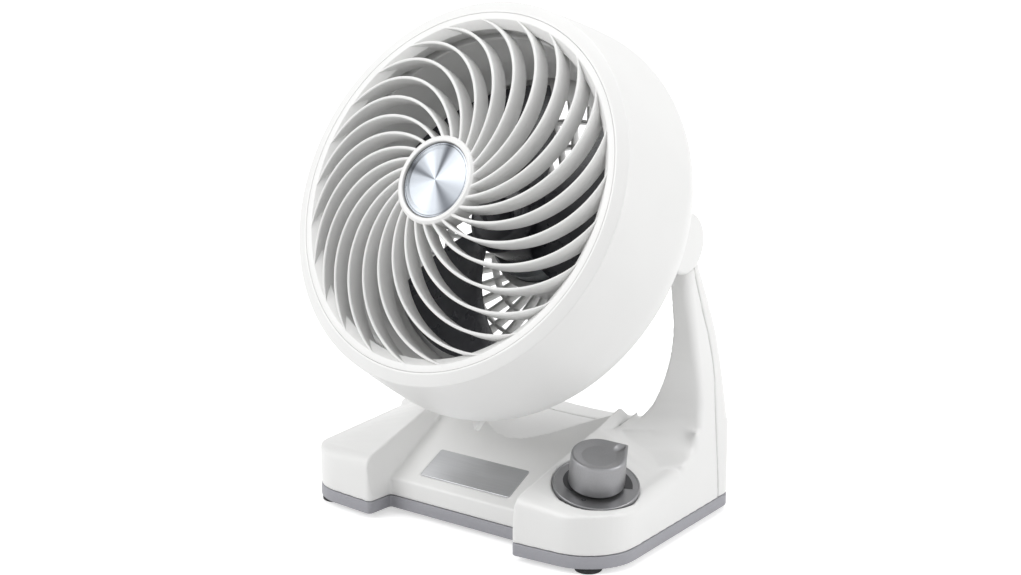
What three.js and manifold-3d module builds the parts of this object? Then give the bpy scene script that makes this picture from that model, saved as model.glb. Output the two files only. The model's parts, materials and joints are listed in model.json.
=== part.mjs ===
// Tilting desk air circulator: a fan head on a two-armed base. Millimetres, +Z up, the fan blows to -Y.
// The origin is on the table, under the middle of the overall box.
import * as THREE from "three";
import { mergeVertices } from "three/addons/utils/BufferGeometryUtils.js";
import Module from "manifold-3d";

const wasm = await Module();
wasm.setup();

// ---------------------------------------------------------------- driving dimensions

const WALL = 2.6; // moulded walls of the housings
const GAP = 0.3; // between pieces that touch
const SEAT = 0.4; // between a recess and what drops into it

// Head: radii about the fan axis, depths measured back from the plane of the front rim.
const TILT = 26; // the face looks up by this much, in the pose shown
const IMPELLER_R = 87.5;
const DUCT_R = IMPELLER_R + 4.7; // inside of the inner duct, at its back
const BACK_R = DUCT_R + 0.8; // outside of the rear housing
const RING_R = DUCT_R + 6.3; // inside of the grille ring
const SOCKET_R = RING_R + 8.7; // seat of the front grille inside the rim
const SOCKET_DEPTH = 14;
const RIM_R = SOCKET_R + 7.8; // outside of the front rim
const RIM_ROUND = 2.6; // rounding of the rim's front edge
const SHROUD_R = RIM_R + 7.3; // widest part of the shroud
const SHROUD_DEPTH = 79.5; // to the flat back of the shoulder
const SHROUD_WIDE_AT = SHROUD_DEPTH - 25.5; // depth at which it is widest

const RING_SET = 0.8; // the grille's ring stands this far behind the rim
const CHAMFER = 4.6; // sloping front of the grille ring
const DOME = 16; // the hub stands this far ahead of the rim plane

const VANES = 25; // curved vanes of the front grille
const VANE_T = 1.9; // their thickness
const VANE_DEPTH = 11.5; // their height, front to back
const VANE_ARC_R = 0.60305 * RING_R; // each vane is an arc of this radius
const VANE_ARC_AT = 0.52284 * RING_R; // whose centre is this far from the fan axis
const VANE_FIRST = 126.3; // direction of the first arc's centre, in degrees

const HUB_R = 26.3; // outside of the hub's white ring
const BADGE_R = 22.2; // metal disc in the hub
const BADGE_T = 1.2;

const DUCT_END = SHROUD_DEPTH - 11.5; // depth at which the duct ends
const REAR_WALL_END = SHROUD_DEPTH + 14.5; // depth at which the rear housing's wall turns into its grille
const REAR_DOME = REAR_WALL_END + 30; // depth of the rear housing's middle
const REAR_RINGS = 3; // rings of the rear grille
const REAR_SPOKES = 18;
const BAR_T = 2.2; // bars of the rear grille
const BAR_DEPTH = 5;
const CUP_WALL = 4.7; // cup that holds the motor

const SHAFT_R = 4; // motor shaft
const MOTOR_R = 29;
const MOTOR_LEN = 34;
const MOTOR_BACK = REAR_DOME - 10;
const MOTOR_FRONT = MOTOR_BACK - MOTOR_LEN; // depth of the motor's front face
const CUP_R = MOTOR_R + GAP + CUP_WALL;

const BLADES = 3;
const BLADE_HUB_R = 23;
const BLADE_BACK = MOTOR_FRONT - 8; // depth of the impeller's back edge
const BLADE_FRONT = BLADE_BACK - 27;
const BLADE_T = 2.4;

const SCREW_R = 1.6;
const SCREW_HEAD_R = 3.2;
const HEAD_SCREW_AT = BACK_R - 6; // distance of the head's screws from the fan axis
const SMOOTH = 48; // facets round the largest turned shapes
const FACET_SLACK = 0.01; // flat faces are merged within this

// Pivot: where the head hangs in the arms.
const PIVOT_Y = 28;
const PIVOT_ABOVE = 6; // its height above the fan axis
const PIVOT_Z = RIM_R + PIVOT_ABOVE + 55.5;
const PIVOT_BACK = SHROUD_DEPTH + 0.8; // its depth behind the rim plane
const EYE_R = 15.5; // eye of the arm, which turns inside the ear
const EYE_T = 4.4;
const EYE_AT = BACK_R + 3.5; // inner face of the eye, from the middle
const EAR_R = EYE_R + 2.5; // round ear on each side of the shroud
const EAR_END = EYE_AT + EYE_T + 10.1; // outer face of the ear, from the middle
const BOSS_R = 10; // boss inside the eye, which the pivot pin runs through
const BOSS_AT = BACK_R - 5; // its inner end, from the middle
const PIN_R = 5;
const PIN_HEAD_R = 8;
const PIN_HEAD_T = 3;
const WASHER_R = 9;
const WASHER_T = 0.9;

// Base: plan sizes at the foot of the walls.
const FOOT_H = 3.3; // rubber feet below the grey base plate
const BAND_H = 7.4; // height of the grey base plate
const BASE_HALF = EYE_AT + 20.5; // half width, where the front and side lines cross
const BASE_REAR_HALF = BASE_HALF - 13; // half width at the back
const BASE_FRONT = -62; // front of the two lobes, at their inner corners
const BASE_REAR = 95.5; // back wall
const FRONT_SWEEP = 0.08; // the lobes' fronts fall back by this much per mm of width
const CORNER_R = 32; // front corners
const REAR_CORNER_R = 14;
const RECESS_HALF = 54; // half width of the recess between the lobes
const RECESS_FRONT = -43; // front of the recess
const RECESS_Z = 22; // height of the crease under the sloping panel
const PANEL_SLOPE = 0.535; // rise of the panel per mm back
const LOBE_DRAFT = 0.09; // the lobes' inner walls lean out by this much per mm of height
const LOBE_INNER_Z = 37.5; // height of a lobe's inner edge at the front
const LOBE_INNER_SLOPE = 0.32;
const LOBE_OUTER_Z = 33; // height of its outer edge at the front
const LOBE_OUTER_SLOPE = 0.12;
const LOBE_ROUND = 8; // rounding of its outer top edge
const REAR_TOP = 60; // top of the back wall beside the arms
const REAR_ROUND = 9; // rounding of its top edge
const ARM_ROOT = 48; // how far in the arms' roots reach, from the middle
const LOBE_END = 46; // back of the lobes' sloping tops
// The rows of the channel, its crest, the arms and the seam are drawn for an eye this far from the
// middle, and for a pivot this far above the back wall. They follow both.
const DRAWN_EYE_AT = 96.5;
const DRAWN_RISE = 116.5;

// Controls, on the sloping top of the right lobe.
const DIAL_X = 86;
const DIAL_Y = -24;
const DIAL_R = 25;
const DIAL_T = 3.4;
const KNOB_R = 16.2;
const KNOB_H = 20;
const KNOB_TAB = 4.5; // pointer tab beyond the knob's side
const POINTER = 146; // where the pointer stands, in degrees from +X about the dial's axis
const POT_SHAFT_R = 3;

// Label plate on the sloping panel.
const LABEL_W = 68;
const LABEL_H = 23;
const LABEL_T = 0.8;
const LABEL_X = -2;
const LABEL_Y = -26; // middle of the plate, in plan

const JACK_X = -52; // power inlet in the rear cover
const JACK_Z = 24;
const JACK_R = 5.6;

const FOOT_R = 8;
const FEET = [
  ["front_left", -97, -46],
  ["front_right", 97, -46],
  ["rear_left", -86, 79],
  ["rear_right", 86, 79],
];

// ---------------------------------------------------------------- derived places

const BAND_TOP = FOOT_H + BAND_H;
const HOUSING_Z = BAND_TOP + GAP;
const DEG = Math.PI / 180;
const EYE_END = EYE_AT + EYE_T;
const BOSS_END = EYE_AT - GAP - WASHER_T - GAP;
const PIN_END = EYE_END + 7;

// ---------------------------------------------------------------- solids

// A closed geometry as a solid; its faces may be wound either way.
function solid(geometry) {
  const loose = geometry.index ? geometry.toNonIndexed() : geometry;
  const bare = new THREE.BufferGeometry();
  bare.setAttribute("position", loose.getAttribute("position"));
  const merged = mergeVertices(bare, 1e-3);
  const tri = [];
  for (let i = 0; i < merged.index.count; i += 3) {
    const [a, b, c] = [0, 1, 2].map((k) => merged.index.getX(i + k));
    if (a !== b && b !== c && c !== a) tri.push(a, b, c);
  }
  const made = (order) =>
    new wasm.Manifold(
      new wasm.Mesh({
        numProp: 3,
        vertProperties: merged.attributes.position.array,
        triVerts: new Uint32Array(order),
      }),
    );
  const first = made(tri);
  return first.volume() > 0 ? first : made([...tri].reverse());
}

const add = (...solids) => solids.reduce((a, b) => a.add(b));
const cut = (from, ...tools) => tools.reduce((a, b) => a.subtract(b), from);
const meet = (a, b) => a.intersect(b);
const moved = (s, x, y, z) => s.translate([x, y, z]);

function geometryOf(made) {
  const mesh = made.asOriginal().simplify(FACET_SLACK).getMesh();
  const flat = new Float32Array(mesh.triVerts.length * 3);
  mesh.triVerts.forEach((v, i) => {
    flat.set(mesh.vertProperties.subarray(v * mesh.numProp, v * mesh.numProp + 3), i * 3);
  });
  const geometry = new THREE.BufferGeometry();
  geometry.setAttribute("position", new THREE.BufferAttribute(flat, 3));
  geometry.computeVertexNormals();
  return geometry;
}

// Turns a profile of [radius, height] points about Z. A ring's profile ends where it starts.
function revolve(profile, segments = 64) {
  const points = profile.map(([r, z]) => new THREE.Vector2(r, z));
  return solid(new THREE.LatheGeometry(points, segments).rotateX(Math.PI / 2));
}
const ring = (profile, segments) => revolve([...profile, profile[0]], segments);
const rod = (r, z0, z1, segments = 32) => revolve([[0, z0], [r, z0], [r, z1], [0, z1]], segments);
const tube = (r0, r1, z0, z1, segments) => ring([[r0, z0], [r1, z0], [r1, z1], [r0, z1]], segments);
// The same about X, for what turns on the pivot.
const alongX = (made) => made.rotate([0, 90, 0]);

function box(x0, x1, y0, y1, z0, z1) {
  const geometry = new THREE.BoxGeometry(x1 - x0, y1 - y0, z1 - z0);
  return moved(solid(geometry), (x0 + x1) / 2, (y0 + y1) / 2, (z0 + z1) / 2);
}

// An outline of [x, y] points raised from z0 to z1.
function prism(outline, z0, z1) {
  const shape = new THREE.Shape(outline.map(([x, y]) => new THREE.Vector2(x, y)));
  const geometry = new THREE.ExtrudeGeometry(shape, { depth: z1 - z0, bevelEnabled: false });
  return moved(solid(geometry), 0, 0, z0);
}
// An outline of [y, z] points drawn out from x0 to x1.
const prismX = (outline, x0, x1) => prism(outline, x0, x1).rotate([90, 0, 90]);

// Triangles that close a ring of points, whatever plane it lies in.
function capOf(points) {
  const normal = new THREE.Vector3();
  points.forEach((p, i) => {
    const q = points[(i + 1) % points.length];
    normal.x += (p.y - q.y) * (p.z + q.z);
    normal.y += (p.z - q.z) * (p.x + q.x);
    normal.z += (p.x - q.x) * (p.y + q.y);
  });
  const turn = new THREE.Quaternion().setFromUnitVectors(normal.normalize(), new THREE.Vector3(0, 0, 1));
  const flat = points.map((p) => p.clone().applyQuaternion(turn)).map((p) => new THREE.Vector2(p.x, p.y));
  return THREE.ShapeUtils.triangulateShape(flat, []);
}

// A solid through a row of rings, each a list of Vector3 with as many points as the others.
function loft(rings) {
  const count = rings[0].length;
  const flat = [];
  const corner = (p) => flat.push(p.x, p.y, p.z);
  for (let i = 0; i + 1 < rings.length; i++) {
    for (let j = 0; j < count; j++) {
      const k = (j + 1) % count;
      [rings[i][j], rings[i][k], rings[i + 1][k]].forEach(corner);
      [rings[i][j], rings[i + 1][k], rings[i + 1][j]].forEach(corner);
    }
  }
  capOf(rings[0]).forEach(([a, b, c]) => [a, c, b].forEach((k) => corner(rings[0][k])));
  const last = rings.at(-1);
  capOf(last).forEach((tri) => tri.forEach((k) => corner(last[k])));
  const geometry = new THREE.BufferGeometry();
  geometry.setAttribute("position", new THREE.Float32BufferAttribute(flat, 3));
  return solid(geometry);
}

// An outline with its corners rounded: [x, y, radius] in, [x, y] out.
function rounded(corners, steps = 6) {
  return corners.flatMap(([x, y, r], i) => {
    const here = new THREE.Vector2(x, y);
    if (!r) return [[x, y]];
    const [a, b] = [corners.at(i - 1), corners[(i + 1) % corners.length]].map(([u, v]) =>
      new THREE.Vector2(u, v).sub(here).normalize(),
    );
    const half = Math.acos(THREE.MathUtils.clamp(a.dot(b), -1, 1)) / 2;
    const centre = here.clone().addScaledVector(a.clone().add(b).normalize(), r / Math.sin(half));
    const from = here.clone().addScaledVector(a, r / Math.tan(half)).sub(centre);
    const to = here.clone().addScaledVector(b, r / Math.tan(half)).sub(centre);
    const sweep = Math.atan2(from.cross(to), from.dot(to));
    return Array.from({ length: steps + 1 }, (_, k) => {
      const p = from.clone().rotateAround(new THREE.Vector2(), (sweep * k) / steps).add(centre);
      return [p.x, p.y];
    });
  });
}

const steps = (n, from, to) => Array.from({ length: n + 1 }, (_, i) => from + ((to - from) * i) / n);

// Value at x of a curve through [x, value] points.
function through(points, x) {
  const i = points.findIndex(([at]) => at >= x);
  if (i === 0) return points[0][1];
  if (i < 0) return points.at(-1)[1];
  const [[x0, v0], [x1, v1]] = [points[i - 1], points[i]];
  return v0 + ((v1 - v0) * (x - x0)) / (x1 - x0);
}

// ---------------------------------------------------------------- materials

const look = (color, roughness, metalness = 0) => new THREE.MeshStandardMaterial({ color, roughness, metalness });
const WHITE = look(0xf2f2f0, 0.35);
const GREY = look(0x9c9ca1, 0.5);
const DARK = look(0x24252a, 0.35);
const BLACK = look(0x17171a, 0.8);
const SATIN = look(0x9a9a9c, 0.4, 0.9);
const BRUSHED = look(0xc4c8cc, 0.3, 1);
const STEEL = look(0xb4b6ba, 0.35, 1);
const MOTOR_GREY = look(0x7c7f83, 0.45, 0.8);
const BOARD = look(0x2f6b45, 0.6);

const named = (name, made, material) => {
  const mesh = new THREE.Mesh(geometryOf(made), material);
  mesh.name = name;
  return mesh;
};

// ---------------------------------------------------------------- head

// Outside of the shroud: a slow cone back to its widest ring, then a rounded shoulder.
const shroudOuter = (inset, shoulder) => [
  ...steps(2, 0, 90).map((a) => [
    RIM_R - RIM_ROUND * (1 - Math.sin(a * DEG)) - inset,
    -RIM_ROUND * (1 - Math.cos(a * DEG)) - inset,
  ]),
  ...steps(shoulder, 0, 90).map((a) => [
    BACK_R + 1 + (SHROUD_R - BACK_R - 1 - inset) * Math.cos(a * DEG),
    -SHROUD_WIDE_AT - (SHROUD_DEPTH - SHROUD_WIDE_AT - inset) * Math.sin(a * DEG),
  ]),
];

// What turns on the pivot is drawn about X at the pivot, then moved into the fan's own frame.
const atPivot = (made) => moved(made, 0, PIVOT_ABOVE, -PIVOT_BACK);
const onSide = (side, made) => atPivot(side > 0 ? made : made.mirror([1, 0, 0]));
const bothSides = (make) => add(make(1), make(-1));

// The shroud, with an ear each side that is hollowed for the arm's eye.
function shroud() {
  const ledge = SOCKET_DEPTH + 2.2;
  const lip = BACK_R - 11;
  const shell = ring(
    [
      [SOCKET_R, 0],
      ...shroudOuter(0, 5),
      [lip, -SHROUD_DEPTH],
      [lip, -SHROUD_DEPTH + WALL],
      ...shroudOuter(WALL, 3).slice(3).reverse(),
      [RIM_R - WALL, -WALL],
      [SOCKET_R + 2.2, -WALL],
      [SOCKET_R + 2.2, -ledge],
      [SOCKET_R - 3, -ledge],
      [SOCKET_R - 3, -SOCKET_DEPTH],
      [SOCKET_R, -SOCKET_DEPTH],
    ],
    SMOOTH,
  );
  const ear = (side) => {
    const round = 2.5;
    const profile = [
      [0, EYE_END + GAP],
      [EAR_R, EYE_END + GAP],
      ...steps(2, 0, 90).map((a) => [
        EAR_R - round * (1 - Math.cos(a * DEG)),
        EAR_END - round * (1 - Math.sin(a * DEG)),
      ]),
      [0, EAR_END],
    ];
    return onSide(side, alongX(revolve(profile, 32)));
  };
  const boss = (side) => onSide(side, alongX(rod(BOSS_R, BOSS_AT, BOSS_END, 24)));
  const slot = (side) =>
    onSide(
      side,
      alongX(add(rod(EYE_R + 1, BOSS_END, EYE_END + GAP, 32), rod(PIN_HEAD_R + GAP, BOSS_AT - 8, BOSS_AT, 16))),
    );
  const bore = (side) => onSide(side, alongX(rod(PIN_R + GAP, BOSS_AT - 1, PIN_END + GAP, 16)));
  const posts = headScrewPlaces.map(([x, y]) => moved(rod(4, -SHROUD_DEPTH + 1, -DUCT_END - 5.4, 12), x, y, 0));
  const solidParts = add(shell, ...posts, bothSides(ear));
  return cut(add(cut(solidParts, bothSides(slot)), bothSides(boss)), bothSides(bore), screwHoles());
}

// Places of the four screws that hold the rear housing to the shroud.
const headScrewPlaces = [45, 135, 225, 315].map((a) => [
  HEAD_SCREW_AT * Math.cos(a * DEG),
  HEAD_SCREW_AT * Math.sin(a * DEG),
]);
const screwHoles = () =>
  add(...headScrewPlaces.map(([x, y]) => moved(rod(SCREW_R + GAP, -REAR_DOME, -SHROUD_DEPTH + 5.4, 8), x, y, 0)));

// A round-headed screw with the underside of its head at z = 0, pointing along +Z.
const screw = (length) =>
  revolve(
    [
      [0, -2],
      [SCREW_HEAD_R - 0.8, -2],
      [SCREW_HEAD_R, 0],
      [SCREW_R, 0],
      [SCREW_R, length - 1],
      [0, length],
    ],
    8,
  );
const HEAD_SCREW_SEAT = -SHROUD_DEPTH - GAP - 6;
const headScrew = ([x, y]) => moved(screw(10.5), x, y, HEAD_SCREW_SEAT - GAP);

// Front of the vanes: a shallow dome from the hub out to the ring.
const RING_FRONT = -RING_SET;
const VANE_TIP_R = RING_R + CHAMFER + 0.6;
const domeZ = (r) => RING_FRONT + (DOME - RING_FRONT) * (1 - (r / VANE_TIP_R) ** 2);

// One vane: an upright strip along an arc, which thins to a point where it runs out on the ring.
function vane(index) {
  const turn = (VANE_FIRST + (index * 360) / VANES) * DEG;
  const rings = [HUB_R - 1.2, 33, 42, 52, 63, 75, 87, RING_R, VANE_TIP_R].map((r) => {
    const swing = Math.acos((r * r - VANE_ARC_AT ** 2 - VANE_ARC_R ** 2) / (2 * VANE_ARC_AT * VANE_ARC_R));
    const along = turn - swing;
    const outward = new THREE.Vector3(Math.cos(along), Math.sin(along), 0);
    const middle = new THREE.Vector3(Math.cos(turn), Math.sin(turn), 0)
      .multiplyScalar(VANE_ARC_AT)
      .addScaledVector(outward, VANE_ARC_R);
    const front = domeZ(r);
    const depth = r > RING_R ? VANE_DEPTH * 0.6 : VANE_DEPTH;
    const half = (VANE_T / 2) * (r > RING_R ? 0.25 : 1);
    return [
      [half, front],
      [half * 0.7, front - depth],
      [-half * 0.7, front - depth],
      [-half, front],
    ].map(([side, z]) => middle.clone().addScaledVector(outward, side).setZ(z));
  });
  return loft(rings);
}

function frontGrille() {
  const back = -SOCKET_DEPTH + GAP;
  const outside = SOCKET_R - GAP;
  const outer = ring(
    [
      [RING_R, RING_FRONT - CHAMFER + 0.9],
      [RING_R + CHAMFER, RING_FRONT],
      [outside, RING_FRONT],
      [outside, back],
      [outside - 2.2, back],
      [outside - 2.2, RING_FRONT - 5.6],
      [RING_R + 2.4, RING_FRONT - 5.6],
      [RING_R + 2.4, RING_FRONT - 11.2],
      [RING_R, RING_FRONT - 11.2],
    ],
    SMOOTH,
  );
  const face = DOME + 1.6;
  const hub = revolve(
    [
      [0, DOME - BADGE_T - 2.4],
      [HUB_R - 3.2, DOME - BADGE_T - 2.4],
      [HUB_R - 2.6, DOME - VANE_DEPTH],
      [HUB_R - 0.9, DOME - VANE_DEPTH],
      [HUB_R, face - 1.6],
      [HUB_R - 1.2, face],
      [BADGE_R + SEAT, face],
      [BADGE_R + SEAT, DOME - BADGE_T],
      [0, DOME - BADGE_T],
    ],
    SMOOTH,
  );
  const vanes = Array.from({ length: VANES }, (_, i) => vane(i));
  return add(outer, hub, ...vanes);
}

const hubBadge = () => {
  const back = DOME - BADGE_T + GAP;
  return revolve(
    [
      [0, back],
      [BADGE_R, back],
      [BADGE_R, back + BADGE_T - 0.5],
      [BADGE_R - 0.5, back + BADGE_T],
      [0, back + BADGE_T + 0.4],
    ],
    SMOOTH,
  );
};

// Inner duct around the impeller, clamped behind the ledge of the grille's socket.
function innerDuct() {
  const front = -(SOCKET_DEPTH + 2.2 + GAP);
  const wall = 2.2;
  return ring(
    [
      [SOCKET_R + 1.8, front],
      [SOCKET_R + 1.8, front - wall],
      [RING_R + 1.2, front - wall],
      [DUCT_R + wall + 1.4, -40],
      [DUCT_R + wall, -DUCT_END],
      [DUCT_R, -DUCT_END],
      [DUCT_R + 1.4, -40],
      [RING_R - 0.8, front],
    ],
    SMOOTH,
  );
}

// Rear housing: a side wall that plugs into the shroud, a domed grille and the motor's cup.
const rearZ = (r) => -REAR_WALL_END - (REAR_DOME - REAR_WALL_END) * (1 - (r / BACK_R) ** 2.4);

function rearHousing() {
  const front = -SHROUD_DEPTH - GAP;
  const wall = ring(
    [
      [BACK_R - WALL, front],
      [BACK_R, front],
      [BACK_R, -REAR_WALL_END],
      [BACK_R - WALL, -REAR_WALL_END - BAR_DEPTH + 1],
    ],
    SMOOTH,
  );
  const cupFront = -(MOTOR_FRONT + 12);
  const cup = revolve(
    [
      [MOTOR_R + GAP, cupFront],
      [CUP_R, cupFront],
      [CUP_R, rearZ(CUP_R) - 1],
      [CUP_R - 3, -REAR_DOME - 1.6],
      [0, -REAR_DOME - 1.6],
      [0, -MOTOR_BACK - GAP],
      [MOTOR_R + GAP, -MOTOR_BACK - GAP],
      [MOTOR_R + GAP, cupFront],
    ],
    32,
  );
  const rings = steps(REAR_RINGS + 1, CUP_R, BACK_R - WALL)
    .slice(1, -1)
    .map((r) => {
      const z = rearZ(r);
      return tube(r - BAR_T / 2, r + BAR_T / 2, z + 1, z + BAR_DEPTH - 1, REAR_SPOKES * 2);
    });
  const spoke = (i) => {
    const turn = ((i + 0.5) * 360) / REAR_SPOKES;
    const profile = [
      ...steps(3, CUP_R - 1.5, BACK_R - 1.4).map((r) => [r, rearZ(r)]),
      ...steps(3, BACK_R - 1.4, CUP_R - 1.5).map((r) => [r, rearZ(r) + BAR_DEPTH]),
    ];
    return moved(prism(profile, 0, BAR_T), 0, 0, -BAR_T / 2).rotate([90, 0, 0]).rotate([0, 0, turn]);
  };
  const spokes = Array.from({ length: REAR_SPOKES }, (_, i) => spoke(i));
  const screwBoss = ([x, y]) => moved(rod(4.2, -REAR_WALL_END - 2, front, 12), x, y, 0);
  const screwPocket = ([x, y]) => moved(rod(SCREW_HEAD_R + GAP, -REAR_DOME, HEAD_SCREW_SEAT, 12), x, y, 0);
  const notch = (side) => onSide(side, alongX(rod(BOSS_R + GAP, BOSS_AT - 6, EYE_END, 24)));
  return cut(
    add(wall, cup, ...rings, ...spokes, ...headScrewPlaces.map(screwBoss)),
    bothSides(notch),
    ...headScrewPlaces.map(screwPocket),
    screwHoles(),
    motorScrewHoles(),
  );
}

// Motor: a can with a mounting boss, its shaft and the impeller turn together.
function motor() {
  const can = revolve(
    [
      [SHAFT_R + 0.6, -MOTOR_FRONT + 4],
      [10, -MOTOR_FRONT + 4],
      [11, -MOTOR_FRONT],
      [MOTOR_R - 2, -MOTOR_FRONT],
      [MOTOR_R, -MOTOR_FRONT - 2],
      [MOTOR_R, -MOTOR_BACK],
      [SHAFT_R + 0.6, -MOTOR_BACK],
      [SHAFT_R + 0.6, -MOTOR_FRONT + 4],
    ],
    32,
  );
  const vents = Array.from({ length: 8 }, (_, i) =>
    moved(box(-2, 2, 15, 22, -MOTOR_FRONT - 3, -MOTOR_FRONT + 1), 0, 0, 0).rotate([0, 0, i * 45]),
  );
  return cut(can, ...vents, motorScrewHoles());
}
const motorScrewPlaces = [0, 180].map((a) => [20 * Math.cos(a * DEG), 20 * Math.sin(a * DEG)]);
const motorScrewHoles = () =>
  add(...motorScrewPlaces.map(([x, y]) => moved(rod(SCREW_R + GAP, -REAR_DOME - 3, -MOTOR_BACK + 8, 8), x, y, 0)));
const motorScrew = ([x, y]) => moved(screw(16), x, y, -REAR_DOME - 1.6 - GAP);

const HUB_BORE = SHAFT_R + GAP;
const NUT_FRONT = BLADE_FRONT - 9; // front of the cap nut
const motorShaft = () =>
  revolve(
    [
      [0, -NUT_FRONT - 4],
      [SHAFT_R - 0.6, -NUT_FRONT - 4],
      [SHAFT_R, -NUT_FRONT - 5],
      [SHAFT_R, -MOTOR_BACK + 1],
      [0, -MOTOR_BACK + 1],
    ],
    32,
  );
const bladeNut = () =>
  cut(
    revolve(
      [
        [0, -NUT_FRONT],
        [4, -NUT_FRONT - 0.6],
        [8, -NUT_FRONT - 3],
        [10, -BLADE_FRONT + GAP],
        [0, -BLADE_FRONT + GAP],
      ],
      32,
    ),
    rod(HUB_BORE, -BLADE_FRONT - 1, -NUT_FRONT - 3.6),
  );

// Impeller: deep-pitch blades, each a twisted plate lofted from the hub to the tip.
function impeller() {
  const hub = ring(
    [
      [HUB_BORE, -BLADE_FRONT],
      [BLADE_HUB_R - 5, -BLADE_FRONT],
      [BLADE_HUB_R, -BLADE_FRONT - 6],
      [BLADE_HUB_R, -BLADE_BACK],
      [BLADE_HUB_R - 2.4, -BLADE_BACK],
      [BLADE_HUB_R - 2.4, -BLADE_FRONT - 7],
      [HUB_BORE + 3.4, -BLADE_FRONT - 4],
      [HUB_BORE + 3.4, -BLADE_BACK + 2],
      [HUB_BORE, -BLADE_BACK + 2],
    ],
    48,
  );
  const blade = (index) => {
    const rings = steps(4, 0, 1).map((t) => {
      const r = BLADE_HUB_R - 1.2 + (IMPELLER_R - BLADE_HUB_R + 1.2) * t;
      const spread = (62 - 8 * t + 14 * t * t) * DEG;
      const lead = (index * 360) / BLADES + 26 * t;
      const trim = 2.5 * t * t;
      const point = (u, z) => {
        const angle = lead * DEG + spread * (u - 0.5);
        return new THREE.Vector3(r * Math.cos(angle), r * Math.sin(angle), z);
      };
      const height = (u) => {
        const rise = 0.5 - 0.5 * Math.cos(Math.PI * (0.12 + 0.76 * u));
        return -BLADE_BACK + trim + (BLADE_BACK - BLADE_FRONT - 2 * trim - BLADE_T) * rise;
      };
      const us = steps(5, 0, 1);
      return [...us.map((u) => point(u, height(u) + BLADE_T)), ...us.reverse().map((u) => point(u, height(u)))];
    });
    return loft(rings);
  };
  return add(hub, ...Array.from({ length: BLADES }, (_, i) => blade(i)));
}

const pivotPin = (side) => {
  const seat = BOSS_AT - GAP;
  const profile = [
    [0, seat - PIN_HEAD_T],
    [PIN_HEAD_R - 1, seat - PIN_HEAD_T],
    [PIN_HEAD_R, seat - PIN_HEAD_T + 1],
    [PIN_HEAD_R, seat],
    [PIN_R, seat],
    [PIN_R, PIN_END - 0.8],
    [PIN_R - 0.8, PIN_END],
    [0, PIN_END],
  ];
  return onSide(side, alongX(revolve(profile, 16)));
};
const frictionWasher = (side) =>
  onSide(side, alongX(tube(PIN_R + GAP, WASHER_R, BOSS_END + GAP, BOSS_END + GAP + WASHER_T, 20)));

// ---------------------------------------------------------------- base

// Line of the side wall in plan: it narrows towards the back.
const frontCornerY = BASE_FRONT + FRONT_SWEEP * (BASE_HALF - RECESS_HALF);
const sideX = (y) =>
  BASE_HALF + ((BASE_REAR_HALF - BASE_HALF) * (y - frontCornerY)) / (BASE_REAR - frontCornerY);

// Plan of the whole base, drawn in by inset.
function basePlan(inset) {
  const side = (s) => [
    [s * (RECESS_HALF + inset), RECESS_FRONT + inset, 1.5],
    [s * (RECESS_HALF + inset), BASE_FRONT + inset, 2.5],
    [s * (BASE_HALF - inset), frontCornerY + inset, CORNER_R - inset],
    [s * (BASE_REAR_HALF - inset), BASE_REAR - inset, REAR_CORNER_R - inset],
  ];
  return rounded([...side(1), ...side(-1).reverse()], 5);
}

// One lobe (x > 0), lofted from front to back: ruled top, rounded outer edge.
function lobe(inset) {
  const inner = (z) => RECESS_HALF + LOBE_DRAFT * (z - BAND_TOP) + inset;
  const length = LOBE_END - BASE_FRONT;
  const backs = [0, 0.4, 1.6, 3, 5, ...steps(5, 5, length).slice(1)];
  const rings = backs.map((back) => {
    const y = BASE_FRONT + inset + back;
    const outer = sideX(y) - inset;
    const drop = 5 * (1 - Math.sqrt(1 - (1 - Math.min(back / 5, 1)) ** 2)) + inset;
    const flat = Math.min(y, LOBE_END) - BASE_FRONT;
    const innerZ = LOBE_INNER_Z + LOBE_INNER_SLOPE * flat - drop;
    const outerZ = LOBE_OUTER_Z + LOBE_OUTER_SLOPE * flat - drop;
    const round = Math.max(LOBE_ROUND - inset, 1);
    const top = steps(4, 0, 90).map((a) => [
      outer - round * (1 - Math.cos(a * DEG)),
      outerZ - round * (1 - Math.sin(a * DEG)),
    ]);
    const profile = [[inner(0), inset ? 0 : HOUSING_Z], [outer, inset ? 0 : HOUSING_Z], ...top, [inner(innerZ), innerZ]];
    return profile.map(([x, z]) => new THREE.Vector3(x, y + FRONT_SWEEP * (x - RECESS_HALF), z));
  });
  return loft(rings);
}

// Sloping panel between the lobes.
function panel(inset) {
  const front = RECESS_FRONT + inset;
  const rise = inset * Math.hypot(1, PANEL_SLOPE);
  const panelZ = (y) => RECESS_Z - rise + PANEL_SLOPE * (y - RECESS_FRONT);
  const low = inset ? 0 : HOUSING_Z;
  const side = [[front, low], [front, panelZ(front)], [LOBE_END, panelZ(LOBE_END)], [LOBE_END, low]];
  return prismX(side, -RECESS_HALF - 8, RECESS_HALF + 8);
}

// Back of the base, between and under the arms.
function rearBlock(inset) {
  const low = inset ? 0 : HOUSING_Z;
  const half = (y) => sideX(y) - inset;
  const y0 = LOBE_END - 1 + inset;
  const y1 = BASE_REAR - inset;
  const plan = rounded(
    [
      [half(y0), y0, 0],
      [half(y1), y1, REAR_CORNER_R - inset],
      [-half(y1), y1, REAR_CORNER_R - inset],
      [-half(y0), y0, 0],
    ],
    5,
  );
  const top = REAR_TOP - inset;
  const height = [
    [y0, low],
    [y0, top],
    ...steps(4, 90, 0).map((a) => [
      y1 - REAR_ROUND * (1 - Math.cos(a * DEG)),
      top - REAR_ROUND * (1 - Math.sin(a * DEG)),
    ]),
    [y1, low],
  ];
  return meet(prism(plan, low, top + 1), prismX(height, -BASE_HALF, BASE_HALF));
}

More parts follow.
